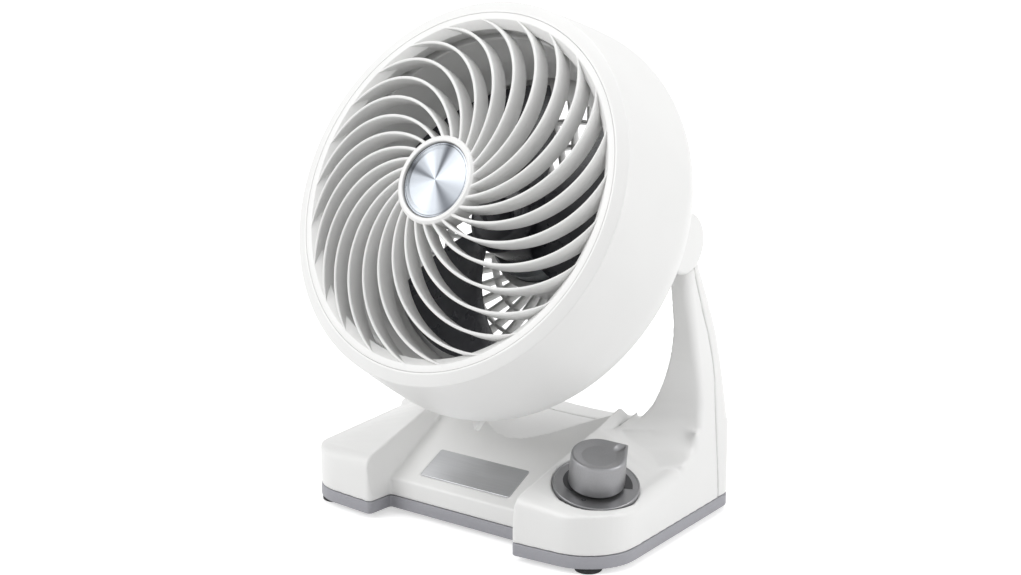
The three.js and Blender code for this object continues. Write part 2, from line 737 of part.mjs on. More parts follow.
// A drawn height or distance from the middle, as it is for the eye and the pivot that were asked for.
const risen = (z) =>
  z < REAR_TOP ? z : REAR_TOP + ((z - REAR_TOP) * (PIVOT_Z - REAR_TOP)) / DRAWN_RISE;
const widened = (x) => (x * EYE_AT) / DRAWN_EYE_AT;

// Inner face of the U-shaped channel between the arms, as [x, z], from the middle up the right arm.
const CHANNEL = [
  [0, 44.5],
  [30, 45.5],
  [54, 50],
  [64, 54.5],
  [71, 60],
  [76, 66.5],
  [81.5, 75.5],
  [88, 90],
  [92.3, 105],
  [94.7, 120],
  [96, 138],
  [96.4, 200],
].map(([x, z]) => [widened(x), risen(z)]);
// Crest where the panel and the lobes' tops end and the channel begins, as [x, y] in plan.
// Beyond the lobes it runs forward of the arms.
const CREST = [
  [0, 4.5],
  [12, 6.5],
  [29, 17],
  [42, 27],
  [56, 36],
  [72, 44],
  [78, 26],
  [120, 24],
].map(([x, y]) => [widened(x), y]);

// Front and rear edges of an arm, by height. Its outer face is the base's side wall carried up.
const ARM = [
  { z: 44, front: 34, rear: 88 },
  { z: 51, front: 38.5, rear: 86.5 },
  { z: 58, front: 43, rear: 85 },
  { z: 66, front: 45.5, rear: 83 },
  { z: 76, front: 46.5, rear: 80 },
  { z: 90, front: 45.5, rear: 76 },
  { z: 104, front: 43.5, rear: 71.5 },
  { z: 118, front: 40.5, rear: 66 },
  { z: 131, front: 36.5, rear: 60 },
  { z: 145, front: 33, rear: 52.5 },
  { z: 158, front: 31.5, rear: 46 },
  { z: 172, front: 30, rear: 40 },
].map((row) => ({ ...row, z: risen(row.z) }));
const ARM_SOLID_ROWS = 2; // the top rows, where the arm is too thin to be hollow

const channelX = (z) => through(CHANNEL.map(([x, height]) => [height, x]), z);
function arm(inset) {
  const rows = inset ? ARM.slice(0, -ARM_SOLID_ROWS) : ARM;
  const rings = rows.map(({ z, front, rear }) => {
    const round = Math.min(5, (rear - front) / 2 - inset - 0.5);
    const root = z < REAR_TOP ? ARM_ROOT : channelX(z) - 5;
    const corners = [
      [root, front + inset, 0],
      [sideX(front) - inset, front + inset, round],
      [sideX(rear) - inset, rear - inset, round],
      [root, rear - inset, 0],
    ];
    return rounded(corners, 3).map(([x, y]) => new THREE.Vector3(x, y, z));
  });
  const low = rings[0].map((p) => p.clone().setZ(inset ? 0 : HOUSING_Z + 2));
  return loft([low, ...rings]);
}

// Room for the head: the channel, from the crest to the back.
function channel(grow) {
  const down = (points) => points.map(([x, z], i) => {
    const [from, to] = [points[Math.max(i - 1, 0)], points[Math.min(i + 1, points.length - 1)]];
    const run = Math.hypot(to[0] - from[0], to[1] - from[1]);
    const along = i === 0 ? [1, 0] : [(to[0] - from[0]) / run, (to[1] - from[1]) / run];
    return [x + grow * along[1], z - grow * along[0]];
  });
  const right = down(CHANNEL);
  const left = right.slice(1).map(([x, z]) => [-x, z]).reverse();
  const section = prism([...left, ...right], -BASE_REAR - 50, BASE_REAR + 50).rotate([90, 0, 0]);
  const crest = down(CREST);
  const plan = [
    ...crest.slice(1).map(([x, y]) => [-x, y]).reverse(),
    ...crest,
    [CREST.at(-1)[0], BASE_REAR + 20],
    [-CREST.at(-1)[0], BASE_REAR + 20],
  ];
  return meet(section, prism(plan, 0, CHANNEL.at(-1)[1]));
}

// Eye at the top of an arm, on a thin neck that runs down into it.
function armEye() {
  const eye = alongX(rod(EYE_R, EYE_AT, EYE_END, 40));
  const neck = prismX([[3.2, -10], [4, -18], [7, -30], [13, -34], [15, -2]], EYE_AT, EYE_END);
  return moved(add(eye, neck), 0, PIVOT_Y, PIVOT_Z);
}

const mirrored = (made) => add(made, made.mirror([1, 0, 0]));
const pivotRoom = (r, x0, x1) => moved(alongX(rod(r, x0, x1, 48)), 0, PIVOT_Y, PIVOT_Z);

// The whole white moulding before it is split into the front housing and the rear cover.
function baseBody() {
  const block = (inset) =>
    cut(add(mirrored(lobe(inset)), panel(inset), rearBlock(inset), mirrored(arm(inset))), channel(inset));
  const plan = prism(basePlan(0), HOUSING_Z, PIVOT_Z);
  const cradle = cut(meet(block(0), plan), mirrored(pivotRoom(EAR_R + 0.9, EYE_AT - 4, EAR_END + 4)));
  const hollow = meet(block(WALL), prism(basePlan(WALL), 0, PIVOT_Z));
  const posts = meet(add(...BASE_SCREWS.map(post)), cradle);
  const bore = mirrored(pivotRoom(PIN_R + SEAT, EYE_AT - 2, EYE_END + 2));
  return cut(add(cut(cradle, hollow), posts, mirrored(armEye())), bore);
}

// Seam between the front housing and the rear cover, as [y, z], seen from the side.
const SEAM = [
  [75.5, 0],
  [75, 20],
  [69, 72],
  [65.5, 95],
  [60, 112],
  [54, 125],
  [46, 142],
  [40, 156],
  [36, 166],
].map(([y, z]) => [y, risen(z)]);
function behindSeam(gap) {
  const line = SEAM.map(([y, z]) => [y + gap, z]);
  return prismX([...line, [BASE_REAR + 60, SEAM.at(-1)[1]], [BASE_REAR + 60, 0]], -BASE_HALF, BASE_HALF);
}

// Frame of the dial: its axis stands square to the lobe's top.
const lobeSlope = (x, y) => {
  const outer = sideX(y) - LOBE_ROUND;
  const share = (x - RECESS_HALF - 3) / (outer - RECESS_HALF - 3);
  const flat = y - FRONT_SWEEP * (x - RECESS_HALF) - BASE_FRONT;
  const innerZ = LOBE_INNER_Z + LOBE_INNER_SLOPE * flat;
  const outerZ = LOBE_OUTER_Z + LOBE_OUTER_SLOPE * flat;
  return {
    z: innerZ + (outerZ - innerZ) * share,
    back: LOBE_INNER_SLOPE + (LOBE_OUTER_SLOPE - LOBE_INNER_SLOPE) * share,
    side: (outerZ - innerZ) / (outer - RECESS_HALF - 3),
  };
};
const dialTop = lobeSlope(DIAL_X, DIAL_Y);
const dialAxis = new THREE.Vector3(-dialTop.side, -dialTop.back, 1).normalize();
const dialTurn = new THREE.Quaternion().setFromUnitVectors(new THREE.Vector3(0, 0, 1), dialAxis);
const dialMatrix = new THREE.Matrix4().compose(
  new THREE.Vector3(DIAL_X, DIAL_Y, dialTop.z),
  dialTurn,
  new THREE.Vector3(1, 1, 1),
);
const atDial = (made) => made.transform(dialMatrix.elements);

const panelAngle = Math.atan(PANEL_SLOPE);
const labelMatrix = new THREE.Matrix4().compose(
  new THREE.Vector3(LABEL_X, LABEL_Y, RECESS_Z + PANEL_SLOPE * (LABEL_Y - RECESS_FRONT)),
  new THREE.Quaternion().setFromAxisAngle(new THREE.Vector3(1, 0, 0), panelAngle),
  new THREE.Vector3(1, 1, 1),
);
const labelOutline = (grow) => {
  const [w, h] = [LABEL_W / 2 + grow, LABEL_H / 2 + grow];
  return rounded([[-w, -h, 3], [w, -h, 3], [w, h, 3], [-w, h, 3]], 4);
};
const labelPlate = () => prism(labelOutline(0), -0.4, LABEL_T - 0.4).transform(labelMatrix.elements);
const labelSeat = () => prism(labelOutline(SEAT), -0.4 - GAP, 5).transform(labelMatrix.elements);

// Screw posts hang from the housing over the base plate's screw holes.
const BASE_SCREWS = [
  [-74, -38],
  [74, -50],
  [-68, 62],
  [68, 62],
];
const post = ([x, y]) => moved(rod(4, HOUSING_Z + 0.4, PIVOT_Z, 10), x, y, 0);
const postBore = ([x, y]) => moved(rod(SCREW_R + GAP, 0, 28, 8), x, y, 0);

function frontHousing(body) {
  const dialSeat = atDial(add(rod(DIAL_R + SEAT, -DIAL_T + 1.2 - GAP, 12, SMOOTH), rod(DIAL_R - 4, -12, 0, 24)));
  return cut(body, behindSeam(0), dialSeat, labelSeat(), ...BASE_SCREWS.map(postBore));
}

function rearCover(body) {
  const rear = meet(body, behindSeam(GAP * 1.5));
  const inlet = moved(rod(JACK_R + SEAT, -8, 8, 32).rotate([90, 0, 0]), JACK_X, BASE_REAR, JACK_Z);
  const vents = Array.from({ length: 9 }, (_, i) => {
    const x = 8 + i * 7;
    return box(x, x + 2.4, BASE_REAR - WALL - 2, BASE_REAR + 2, 18, 32);
  });
  return cut(rear, inlet, ...vents);
}

// Grey base plate: a tray that closes the housing and shows as a band around its foot.
function basePlate() {
  const tray = cut(
    prism(basePlan(0), FOOT_H, BAND_TOP),
    prism(basePlan(WALL), FOOT_H + WALL, BAND_TOP + 1),
  );
  const stands = BASE_SCREWS.map(([x, y]) => moved(rod(6, FOOT_H + 1, BAND_TOP, 12), x, y, 0));
  const holes = BASE_SCREWS.map(([x, y]) =>
    moved(add(rod(SCREW_R + GAP, 0, 30, 8), rod(SCREW_HEAD_R + GAP, 0, FOOT_H + 2.6, 12)), x, y, 0),
  );
  const footSeats = FEET.map(([, x, y]) => moved(rod(FOOT_R + GAP, 0, FOOT_H + 1, 20), x, y, 0));
  return cut(add(tray, ...stands), ...holes, ...footSeats);
}
const baseScrew = ([x, y]) => moved(screw(20), x, y, FOOT_H + 2.6 - GAP);
const foot = (x, y) =>
  moved(
    revolve([[0, 0], [FOOT_R - 1, 0], [FOOT_R, 1], [FOOT_R, FOOT_H + 1 - GAP], [0, FOOT_H + 1 - GAP]], 20),
    x,
    y,
    0,
  );

// ---------------------------------------------------------------- controls

// Dished metal plate around the knob.
const dialPlate = () => {
  const top = 1.2;
  const dish = ring(
    [
      [POT_SHAFT_R + 1.4, -DIAL_T + top],
      [DIAL_R, -DIAL_T + top],
      [DIAL_R, top - 0.5],
      [DIAL_R - 0.5, top],
      [DIAL_R - 1.6, top],
      [KNOB_R + 1.6, -0.9],
      [POT_SHAFT_R + 1.4, -0.9],
    ],
    SMOOTH,
  );
  return atDial(dish);
};

// Knob: a dished cylinder with a raised pointer tab on one side.
function knob() {
  const low = -0.9 + GAP + 0.2;
  const body = revolve(
    [
      [0, low],
      [KNOB_R - 0.4, low],
      [KNOB_R, low + 0.6],
      [KNOB_R - 0.5, KNOB_H - 1.2],
      [KNOB_R - 1.7, KNOB_H],
      [KNOB_R - 3.4, KNOB_H - 0.6],
      [0, KNOB_H - 2.2],
    ],
    40,
  );
  const reach = KNOB_R + KNOB_TAB;
  const tab = prism(
    rounded([[KNOB_R - 6, -4.2, 1], [reach, -3, 2], [reach, 3, 2], [KNOB_R - 6, 4.2, 1]], 4),
    KNOB_H - 11,
    KNOB_H + 0.6,
  );
  const skirt = prism([[KNOB_R - 6, -4.2], [KNOB_R + 0.8, -4.2], [KNOB_R + 0.8, 4.2], [KNOB_R - 6, 4.2]], low + 1, KNOB_H - 8);
  const dimple = solid(new THREE.SphereGeometry(3, 12, 8));
  const bore = rod(POT_SHAFT_R + GAP, low - 1, 12, 24);
  return cut(add(body, tab, skirt), moved(dimple, reach - 4.6, 0, KNOB_H + 2.4), bore)
    .rotate([0, 0, POINTER])
    .transform(dialMatrix.elements);
}
const potShaft = () => atDial(revolve([[0, -9], [POT_SHAFT_R, -9], [POT_SHAFT_R, 10.6], [POT_SHAFT_R - 0.8, 11.6], [0, 11.6]], 24));
const potBody = () => {
  const seat = -DIAL_T + 1.2 - GAP;
  const can = add(rod(8.5, -12, -6.4, 32), tube(POT_SHAFT_R + GAP, 4, -6.6, seat + 2, 24));
  return atDial(cut(can, rod(POT_SHAFT_R + GAP, -9 - GAP, 10, 24)));
};
const controlBoard = () => atDial(box(-19, 19, -13, 15, -14.2, -12.3));

// Power inlet: a round socket with a square body inside the rear cover.
function dcJack() {
  const barrel = moved(rod(JACK_R, -1.7, 6, 32).rotate([90, 0, 0]), JACK_X, BASE_REAR - 1, JACK_Z);
  const inner = box(JACK_X - 6.5, JACK_X + 6.5, BASE_REAR - 17, BASE_REAR - WALL - GAP, JACK_Z - 6.5, JACK_Z + 6.5);
  const mouth = moved(tube(1.1, 3.2, -9, 4, 24).rotate([90, 0, 0]), JACK_X, BASE_REAR - 1, JACK_Z);
  return cut(add(barrel, inner), mouth);
}

// ---------------------------------------------------------------- assembly

// The fan's own frame: +Z out of the face, +Y up the face, its origin in the rim plane.
const fan = new THREE.Group();
fan.position.set(0, -PIVOT_ABOVE, PIVOT_BACK);
fan.add(named("shroud", shroud(), WHITE));
fan.add(named("front_grille", frontGrille(), WHITE));
fan.add(named("hub_badge", hubBadge(), BRUSHED));
fan.add(named("inner_duct", innerDuct(), WHITE));
fan.add(named("rear_housing", rearHousing(), WHITE));
fan.add(named("motor", motor(), MOTOR_GREY));
fan.add(named("motor_shaft", motorShaft(), STEEL));
fan.add(named("impeller", impeller(), DARK));
fan.add(named("blade_nut", bladeNut(), DARK));
for (const [word, side] of [["left", -1], ["right", 1]]) {
  fan.add(named(`pivot_pin_${word}`, pivotPin(side), STEEL));
  fan.add(named(`friction_washer_${word}`, frictionWasher(side), STEEL));
}
headScrewPlaces.forEach((place, i) => fan.add(named(`head_screw_${i + 1}`, headScrew(place), STEEL)));
motorScrewPlaces.forEach((place, i) => fan.add(named(`motor_screw_${i + 1}`, motorScrew(place), STEEL)));

const head = new THREE.Group();
head.position.set(0, PIVOT_Y, PIVOT_Z);
head.rotation.x = (90 - TILT) * DEG;
head.add(fan);

const base = new THREE.Group();
const body = baseBody();
base.add(named("front_housing", frontHousing(body), WHITE));
base.add(named("rear_cover", rearCover(body), WHITE));
base.add(named("base_plate", basePlate(), GREY));
base.add(named("label_plate", labelPlate(), SATIN));
base.add(named("dial_plate", dialPlate(), SATIN));
base.add(named("knob", knob(), SATIN));
base.add(named("pot_shaft", potShaft(), STEEL));
base.add(named("pot_body", potBody(), STEEL));
base.add(named("control_board", controlBoard(), BOARD));
base.add(named("power_inlet", dcJack(), BLACK));
FEET.forEach(([where, x, y]) => base.add(named(`foot_${where}`, foot(x, y), BLACK)));
BASE_SCREWS.forEach((place, i) => base.add(named(`base_screw_${i + 1}`, baseScrew(place), STEEL)));

const group = new THREE.Group();
group.add(base, head);

export default group;
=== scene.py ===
"""Looks of a tilting desk air circulator: its pieces, finishes, light and camera, around the CAD frame."""

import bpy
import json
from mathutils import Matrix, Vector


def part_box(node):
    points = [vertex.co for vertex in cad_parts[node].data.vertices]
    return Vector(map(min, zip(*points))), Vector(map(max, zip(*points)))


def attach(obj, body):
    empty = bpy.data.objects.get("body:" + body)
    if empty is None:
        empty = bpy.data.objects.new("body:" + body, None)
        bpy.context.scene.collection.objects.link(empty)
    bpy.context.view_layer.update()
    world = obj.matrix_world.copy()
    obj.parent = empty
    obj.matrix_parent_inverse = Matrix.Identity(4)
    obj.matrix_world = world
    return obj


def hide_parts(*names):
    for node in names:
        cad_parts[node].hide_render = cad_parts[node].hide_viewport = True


bl_info = {
    "name": "Air circulator looks",
    "version": (1, 0, 0),
    "blender": (4, 5, 0),
    "location": "3D View > Sidebar > Air circulator",
    "description": "Builds the visible pieces and finishes of a tilting desk air circulator",
    "category": "Object",
}

import json
import math

import bpy
import numpy as np
from bpy.props import FloatProperty, FloatVectorProperty, IntProperty, PointerProperty
from mathutils import Matrix, Vector

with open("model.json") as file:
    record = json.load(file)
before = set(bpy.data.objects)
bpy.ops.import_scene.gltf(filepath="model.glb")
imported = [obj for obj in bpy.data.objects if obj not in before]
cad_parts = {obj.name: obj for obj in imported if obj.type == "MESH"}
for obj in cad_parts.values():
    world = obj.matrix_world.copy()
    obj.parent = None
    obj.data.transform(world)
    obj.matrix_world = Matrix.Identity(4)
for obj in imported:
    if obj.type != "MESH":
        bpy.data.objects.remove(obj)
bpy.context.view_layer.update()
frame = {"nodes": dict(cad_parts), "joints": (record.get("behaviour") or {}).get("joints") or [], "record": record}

# ---------------------------------------------------------------- the frame's own values

MM = 0.001  # metres in a millimetre: meshes are drawn in millimetres and scaled once
JOINTS = {joint["name"]: joint for joint in frame["joints"]}
PIVOT = Vector(JOINTS["head_tilt"]["pos_m"]) / MM
FAN_FOOT = Vector(JOINTS["fan_spin"]["pos_m"]) / MM
FAN_AXIS = Vector(JOINTS["fan_spin"]["axis"]).normalized()
DIAL_SEAT = Vector(JOINTS["knob_turn"]["pos_m"]) / MM
DIAL_AXIS = Vector(JOINTS["knob_turn"]["axis"]).normalized()


def half_width(node):
    """Half of a CAD node's width in millimetres: its radius, where it is turned about the fan's axis."""
    low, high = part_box(node)
    return (high.x - low.x) / 2 / MM


def standing_frame(origin, axis):
    """A frame in millimetres whose Z runs along an axis, with its X as near to the world's as it can be."""
    turn = Vector((0, 0, 1)).rotation_difference(axis).to_matrix().to_4x4()
    return Matrix.Translation(origin) @ turn


# ---------------------------------------------------------------- sizes and colours


def length(name, millimetres, text):
    """A length that a user can change, kept in metres."""
    start = millimetres * MM
    return FloatProperty(name=name, description=text, default=start, unit="LENGTH", subtype="DISTANCE")


def colour(name, text, code):
    """A colour that a user can change, given as an sRGB hex value."""
    values = {"default": linear(code), "subtype": "COLOR", "size": 3, "min": 0, "max": 1}
    return FloatVectorProperty(name=name, description=text, **values)


def power(name, watts, text):
    """The power of a lamp, in watts."""
    return FloatProperty(name=name, description=text, default=watts, unit="POWER")


def linear(code):
    """An sRGB hex value as linear red, green and blue."""
    parts = [int(code[i : i + 2], 16) / 255 for i in (1, 3, 5)]
    return tuple(c / 12.92 if c <= 0.04045 else ((c + 0.055) / 1.055) ** 2.4 for c in parts)


class HeadSizes(bpy.types.PropertyGroup):
    """Sizes of the fan head, about the fan's axis and back from the plane of its front rim."""

    rim_radius: length("Rim radius", 115, "Outside of the front rim")
    rim_round: length("Rim rounding", 1.1, "Rounding of the rim's outer front edge")
    rim_fall: length("Rim fall", 2.2, "How far the rim's face slopes back to its outer edge")
    rim_flat: length("Rim flat", 108.5, "Radius where the rim's face starts to slope back")
    shroud_radius: length("Shroud radius", half_width("shroud"), "Widest part of the shroud")
    shroud_wide_at: length("Widest at", 54, "Depth at which the shroud is widest")
    shroud_depth: length("Shroud depth", 79.5, "Depth of the flat back of the shoulder")
    back_radius: length("Back radius", half_width("rear_housing"), "Outside of the rear housing")
    wall: length("Wall", 2.6, "Thickness of the moulded walls")
    socket_radius: length("Socket radius", half_width("front_grille") + 0.3, "Seat of the grille in the rim")
    socket_depth: length("Socket depth", 14, "Depth of the seat of the grille")
    ring_radius: length("Ring radius", 98.5, "Inside of the grille's ring")
    ring_set: length("Ring set back", 0.1, "Depth of the grille's ring behind the rim")
    chamfer: length("Chamfer", 4.6, "Sloping inner edge of the grille's ring")
    dome: length("Dome", 16, "How far the hub stands ahead of the rim")
    vane_thickness: length("Vane thickness", 1.9, "Thickness of a vane at its front edge")
    vane_depth: length("Vane depth", 13, "Height of a vane from front to back")
    vane_arc: length("Vane arc", 59.4, "Radius of the arc that a vane follows")
    vane_arc_at: length("Vane arc centre", 51.5, "Distance of that arc's centre from the fan's axis")
    hub_radius: length("Hub radius", 26.3, "Outside of the hub's white ring")
    badge_radius: length("Hub disc radius", half_width("hub_badge"), "Metal disc in the hub")
    duct_radius: length("Duct radius", 92.2, "Inside of the duct at its back")
    duct_end: length("Duct end", 68, "Depth at which the duct ends")
    vanes: IntProperty(name="Vanes", description="Curved vanes of the front grille", default=25, min=3)


class BaseSizes(bpy.types.PropertyGroup):
    """Sizes of the base, in plan and in height above the table."""

    foot_height: length("Foot height", 3.3, "Rubber feet below the grey plate")
    band_height: length("Band height", 7.4, "Grey plate around the foot of the base")
    edge: length("Edge rounding", 1.4, "How far the moulded edges are eased")
    grain: length("Mesh size", 0.8, "Mesh size that the moulded shells are smoothed at")


class ControlSizes(bpy.types.PropertyGroup):
    """Sizes of the knob, its dial and the label plate."""

    dial_radius: length("Dial radius", 25, "Dished metal plate around the knob")
    knob_radius: length("Knob radius", 16.2, "Body of the knob")
    knob_height: length("Knob height", 21.3, "Height of the knob over the dial's seat")
    label_width: length("Label width", 68, "Bare plate on the sloping panel")
    label_height: length("Label height", 23, "Bare plate on the sloping panel")


class Finishes(bpy.types.PropertyGroup):
    """Colours of the finishes."""

    white: colour("White ABS", "Moulded white housings", "#EDEDEC")
    grey: colour("Grey ABS", "Moulded grey plate under the base", "#A0A0A6")
    blades: colour("Charcoal polypropylene", "Moulded fan blades", "#2B2C31")
    silver: colour("Silver paint", "Knob and dial", "#939395")
    plate: colour("Satin aluminium", "Bare label plate", "#BDBEC0")
    disc: colour("Spun aluminium", "Disc in the grille's hub", "#8E9297")
    steel: colour("Zinc-plated steel", "Pins, washers, screws and shafts", "#B9BCC1")
    rubber: colour("Rubber", "Feet", "#1B1B1D")
    black: colour("Black ABS", "Power inlet", "#151517")
    motor: colour("Cast aluminium", "Motor can", "#8A8D91")
    board: colour("Solder mask", "Control board", "#2F6B45")
    ink: colour("Print", "Marks on the dial", "#3A3A3D")


class StageSettings(bpy.types.PropertyGroup):
    """Floor, light and camera."""

    lens: FloatProperty(name="Lens", description="Focal length, 36 mm sensor", default=67.06, unit="CAMERA")
    camera_place: FloatVectorProperty(
        name="Camera",
        description="Place of the camera",
        default=(0.6850, -0.8610, 0.3944),
        subtype="XYZ",
        unit="LENGTH",
    )
    camera_back: FloatVectorProperty(
        name="Camera axis",
        description="Direction from the object back to the camera",
        default=(0.6039, -0.7647, 0.2250),
        subtype="DIRECTION",
    )
    world_light: FloatProperty(name="World light", description="Strength of the even light", default=0.42)
    key_power: power("Key light", 19, "Power of the large soft lamp at the front left")
    fill_power: power("Fill light", 12, "Power of the lamp at the right")
    top_power: power("Top light", 10, "Power of the lamp overhead")


GROUPS = (HeadSizes, BaseSizes, ControlSizes, Finishes, StageSettings)


def settings(group):
    """The scene's values of one of the property groups."""
    return getattr(bpy.context.scene, "circulator_" + group.__name__.lower())


class Millimetres:
    """Reads the lengths of a property group in millimetres."""

    def __init__(self, group):
        self.values = settings(group)

    def __getattr__(self, name):
        value = getattr(self.values, name)
        return value / MM if isinstance(value, float) else value


# ---------------------------------------------------------------- mesh tools, in millimetres

TURN_STEPS = 192  # facets round the large turned shapes
ARC_STEPS = 5  # facets in a small rounding
SHARP = math.radians(32)  # edges bent more than this keep a crease


def object_from(name, points, faces):
    """A new object of the given points and faces."""
    mesh = bpy.data.meshes.new(name)
    mesh.from_pydata([tuple(p) for p in points], [], faces)
    mesh.update()
    made = bpy.data.objects.new(name, mesh)
    bpy.context.scene.collection.objects.link(made)
    return made


def rounded(corners, steps=ARC_STEPS):
    """An outline with its corners rounded: (a, b, radius) in, (a, b) out."""
    line = []
    for i, (x, y, radius) in enumerate(corners):
        here = np.array((x, y), float)
        if not radius:
            line.append(here)
            continue
        ways = [np.array(corners[j][:2], float) - here for j in (i - 1, (i + 1) % len(corners))]
        before, after = [way / np.linalg.norm(way) for way in ways]
        half = math.acos(np.clip(before @ after, -1, 1)) / 2
        middle = (before + after) / np.linalg.norm(before + after)
        centre = here + middle * radius / math.sin(half)
        start = here + before * radius / math.tan(half) - centre
        end = here + after * radius / math.tan(half) - centre
        sweep = math.atan2(start[0] * end[1] - start[1] * end[0], start @ end)
        for k in range(steps + 1):
            c, s = math.cos(sweep * k / steps), math.sin(sweep * k / steps)
            line.append(centre + (start[0] * c - start[1] * s, start[0] * s + start[1] * c))
    return [tuple(p) for p in line]


def rounded_block(x0, x1, y0, y1, radius, steps):
    """A rectangle with its corners rounded."""
    return rounded([(x0, y0, radius), (x1, y0, radius), (x1, y1, radius), (x0, y1, radius)], steps)


def eased_edge(ease, end, way):
    """Levels of an eased edge, as (inset, height). It ends at its top where way is 1, at its foot at -1."""
    turns = np.radians((0, 30, 60, 90))
    return [(ease * (1 - math.cos(a)), end - way * ease * (1 - math.sin(a))) for a in turns]


def turned(profile, steps=TURN_STEPS, closed=False):
    """A profile of (radius, height) turned about Z. An open one starts and ends on the axis."""
    points, rows = [], []
    for radius, height in profile:
        if radius < 1e-6:
            rows.append([len(points)] * steps)
            points.append((0, 0, height))
            continue
        rows.append(list(range(len(points), len(points) + steps)))
        turns = [2 * math.pi * k / steps for k in range(steps)]
        points += [(radius * math.cos(a), radius * math.sin(a), height) for a in turns]
    pairs = list(zip(rows, rows[1:])) + ([(rows[-1], rows[0])] if closed else [])
    faces = []
    for low, high in pairs:
        for k in range(steps):
            j = (k + 1) % steps
            face = list(dict.fromkeys((low[k], low[j], high[j], high[k])))
            if len(face) > 2:
                faces.append(face)
    return outward(object_from("turned", points, faces))


def loft(rings):
    """A closed solid through rings of points, as many in each."""
    count = len(rings[0])
    points = [p for ring in rings for p in ring]
    faces = [list(range(count))[::-1], [len(points) - count + j for j in range(count)]]
    for i in range(len(rings) - 1):
        for j in range(count):
            k = (j + 1) % count
            faces.append([i * count + j, i * count + k, (i + 1) * count + k, (i + 1) * count + j])
    return outward(object_from("loft", points, faces))


def outward(made):
    """Turns a closed mesh's faces out."""
    mesh = made.data
    mesh.calc_loop_triangles()
    points = np.array([v.co for v in mesh.vertices])
    corners = points[np.array([t.vertices for t in mesh.loop_triangles])]
    if np.einsum("ij,ij->", corners[:, 0], np.cross(corners[:, 1], corners[:, 2])) < 0:
        mesh.flip_normals()
    return made


def prism(outline, z0, z1):
    """An outline of (x, y) points raised from z0 to z1."""
    return loft([[(x, y, z) for x, y in outline] for z in (z0, z1)])


def box(x0, x1, y0, y1, z0, z1):
    """A plain block, used to cut with."""
    return prism([(x0, y0), (x1, y0), (x1, y1), (x0, y1)], z0, z1)


def rod(radius, z0, z1, steps=64):
    """A plain round bar about Z, used to build and cut with."""
    return turned([(0, z0), (radius, z0), (radius, z1), (0, z1)], steps)


def moved(made, matrix):
    """Moves the points of a mesh, and keeps its faces out where the move mirrors."""
    made.data.transform(matrix)
    if matrix.is_negative:
        made.data.flip_normals()
    return made


def shifted(made, x, y, z):
    return moved(made, Matrix.Translation((x, y, z)))


ALONG_X = Matrix.Rotation(math.radians(90), 4, "Y")  # turns a shape about Z into one about X
STAND_Y = Matrix.Rotation(math.radians(90), 4, "X")
MIRROR_X = Matrix.Scale(-1, 4, Vector((1, 0, 0)))


def prism_x(outline, x0, x1):
    """An outline of (y, z) points drawn out from x0 to x1."""
    return loft([[(x, y, z) for y, z in outline] for x in (x0, x1)])


def both_sides(make):
    """Two copies of a shape that is drawn on the side of +X, one of them mirrored."""
    return [make(), moved(make(), MIRROR_X)]


def settled(made):
    """Applies an object's modifiers to its mesh."""
    seen = made.evaluated_get(bpy.context.evaluated_depsgraph_get())
    mesh = bpy.data.meshes.new_from_object(seen)
    made.modifiers.clear()
    made.data = mesh
    return made


def combined(made, others, operation):
    """Joins, cuts or meets closed solids, and uses the others up."""
    for other in others:
        step = made.modifiers.new(operation, "BOOLEAN")
        step.solver = "MANIFOLD"
        step.operation = operation
        step.object = other
    settled(made)
    for other in others:
        bpy.data.objects.remove(other)
    return made


def joined(made, *others):
    return combined(made, others, "UNION")


def cut(made, *others):
    return combined(made, others, "DIFFERENCE")


def met(made, other):
    return combined(made, [other], "INTERSECT")


def gathered(parts):
    """Puts closed shells side by side into one mesh."""
    first, rest = parts[0], parts[1:]
    with bpy.context.temp_override(active_object=first, selected_editable_objects=parts):
        bpy.ops.object.join()
    return first


def eased(made, grain, rounds, share=1.0, softer=None):
    """Remeshes a solid finely and relaxes it, which rounds its edges as a mould does.
    softer is (weight at a point, rounds): a place that is relaxed much further, into a wide fillet."""
    remesh = made.modifiers.new("fine", "REMESH")
    remesh.mode = "VOXEL"
    remesh.voxel_size = grain
    settled(made)
    if softer:
        group = made.vertex_groups.new(name="soft")
        points = np.empty(len(made.data.vertices) * 3, np.float32)
        made.data.vertices.foreach_get("co", points)
        weights = np.round(softer[0](points.reshape(-1, 3)), 1)
        for weight in np.unique(weights[weights > 0]):
            group.add(np.flatnonzero(weights == weight).tolist(), float(weight), "REPLACE")
        flow = made.modifiers.new("fillet", "SMOOTH")
        flow.factor = 0.5
        flow.iterations = softer[1]
        flow.vertex_group = group.name
    relax = made.modifiers.new("relax", "SMOOTH")
    relax.factor = 0.5
    relax.iterations = rounds
    if share < 1:
        thin = made.modifiers.new("thin", "DECIMATE")
        thin.ratio = share
    return settled(made)


def smooth_line(points, count):
    """Points along a smooth curve through the given ones (Catmull-Rom)."""
    p = np.array(points, float)
    p = np.vstack((2 * p[0] - p[1], p, 2 * p[-1] - p[-2]))
    line = []
    for a, b, c, d in zip(p, p[1:], p[2:], p[3:]):
        for t in np.arange(count) / count:
            bend = (2 * a - 5 * b + 4 * c - d) * t**2 + (3 * b - a - 3 * c + d) * t**3
            line.append(0.5 * (2 * b + (c - a) * t + bend))
    return np.array(line + [p[-2]])


def piece(made, name, body, material, matrix=Matrix(), replaces=(), sharp=SHARP):
    """Names a finished mesh, sets it in its place in metres, and gives it its finish and its body."""
    made.name = made.data.name = name
    made.data.transform(Matrix.Scale(MM, 4))
    place = matrix.copy()
    place.translation *= MM
    made.matrix_world = place
    made.data.materials.clear()
    made.data.materials.append(material)
    made.data.shade_smooth()
    if sharp:
        made.data.set_sharp_from_angle(angle=sharp)
    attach(made, body)
    if replaces:
        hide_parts(*replaces)
    return made


# ---------------------------------------------------------------- finishes


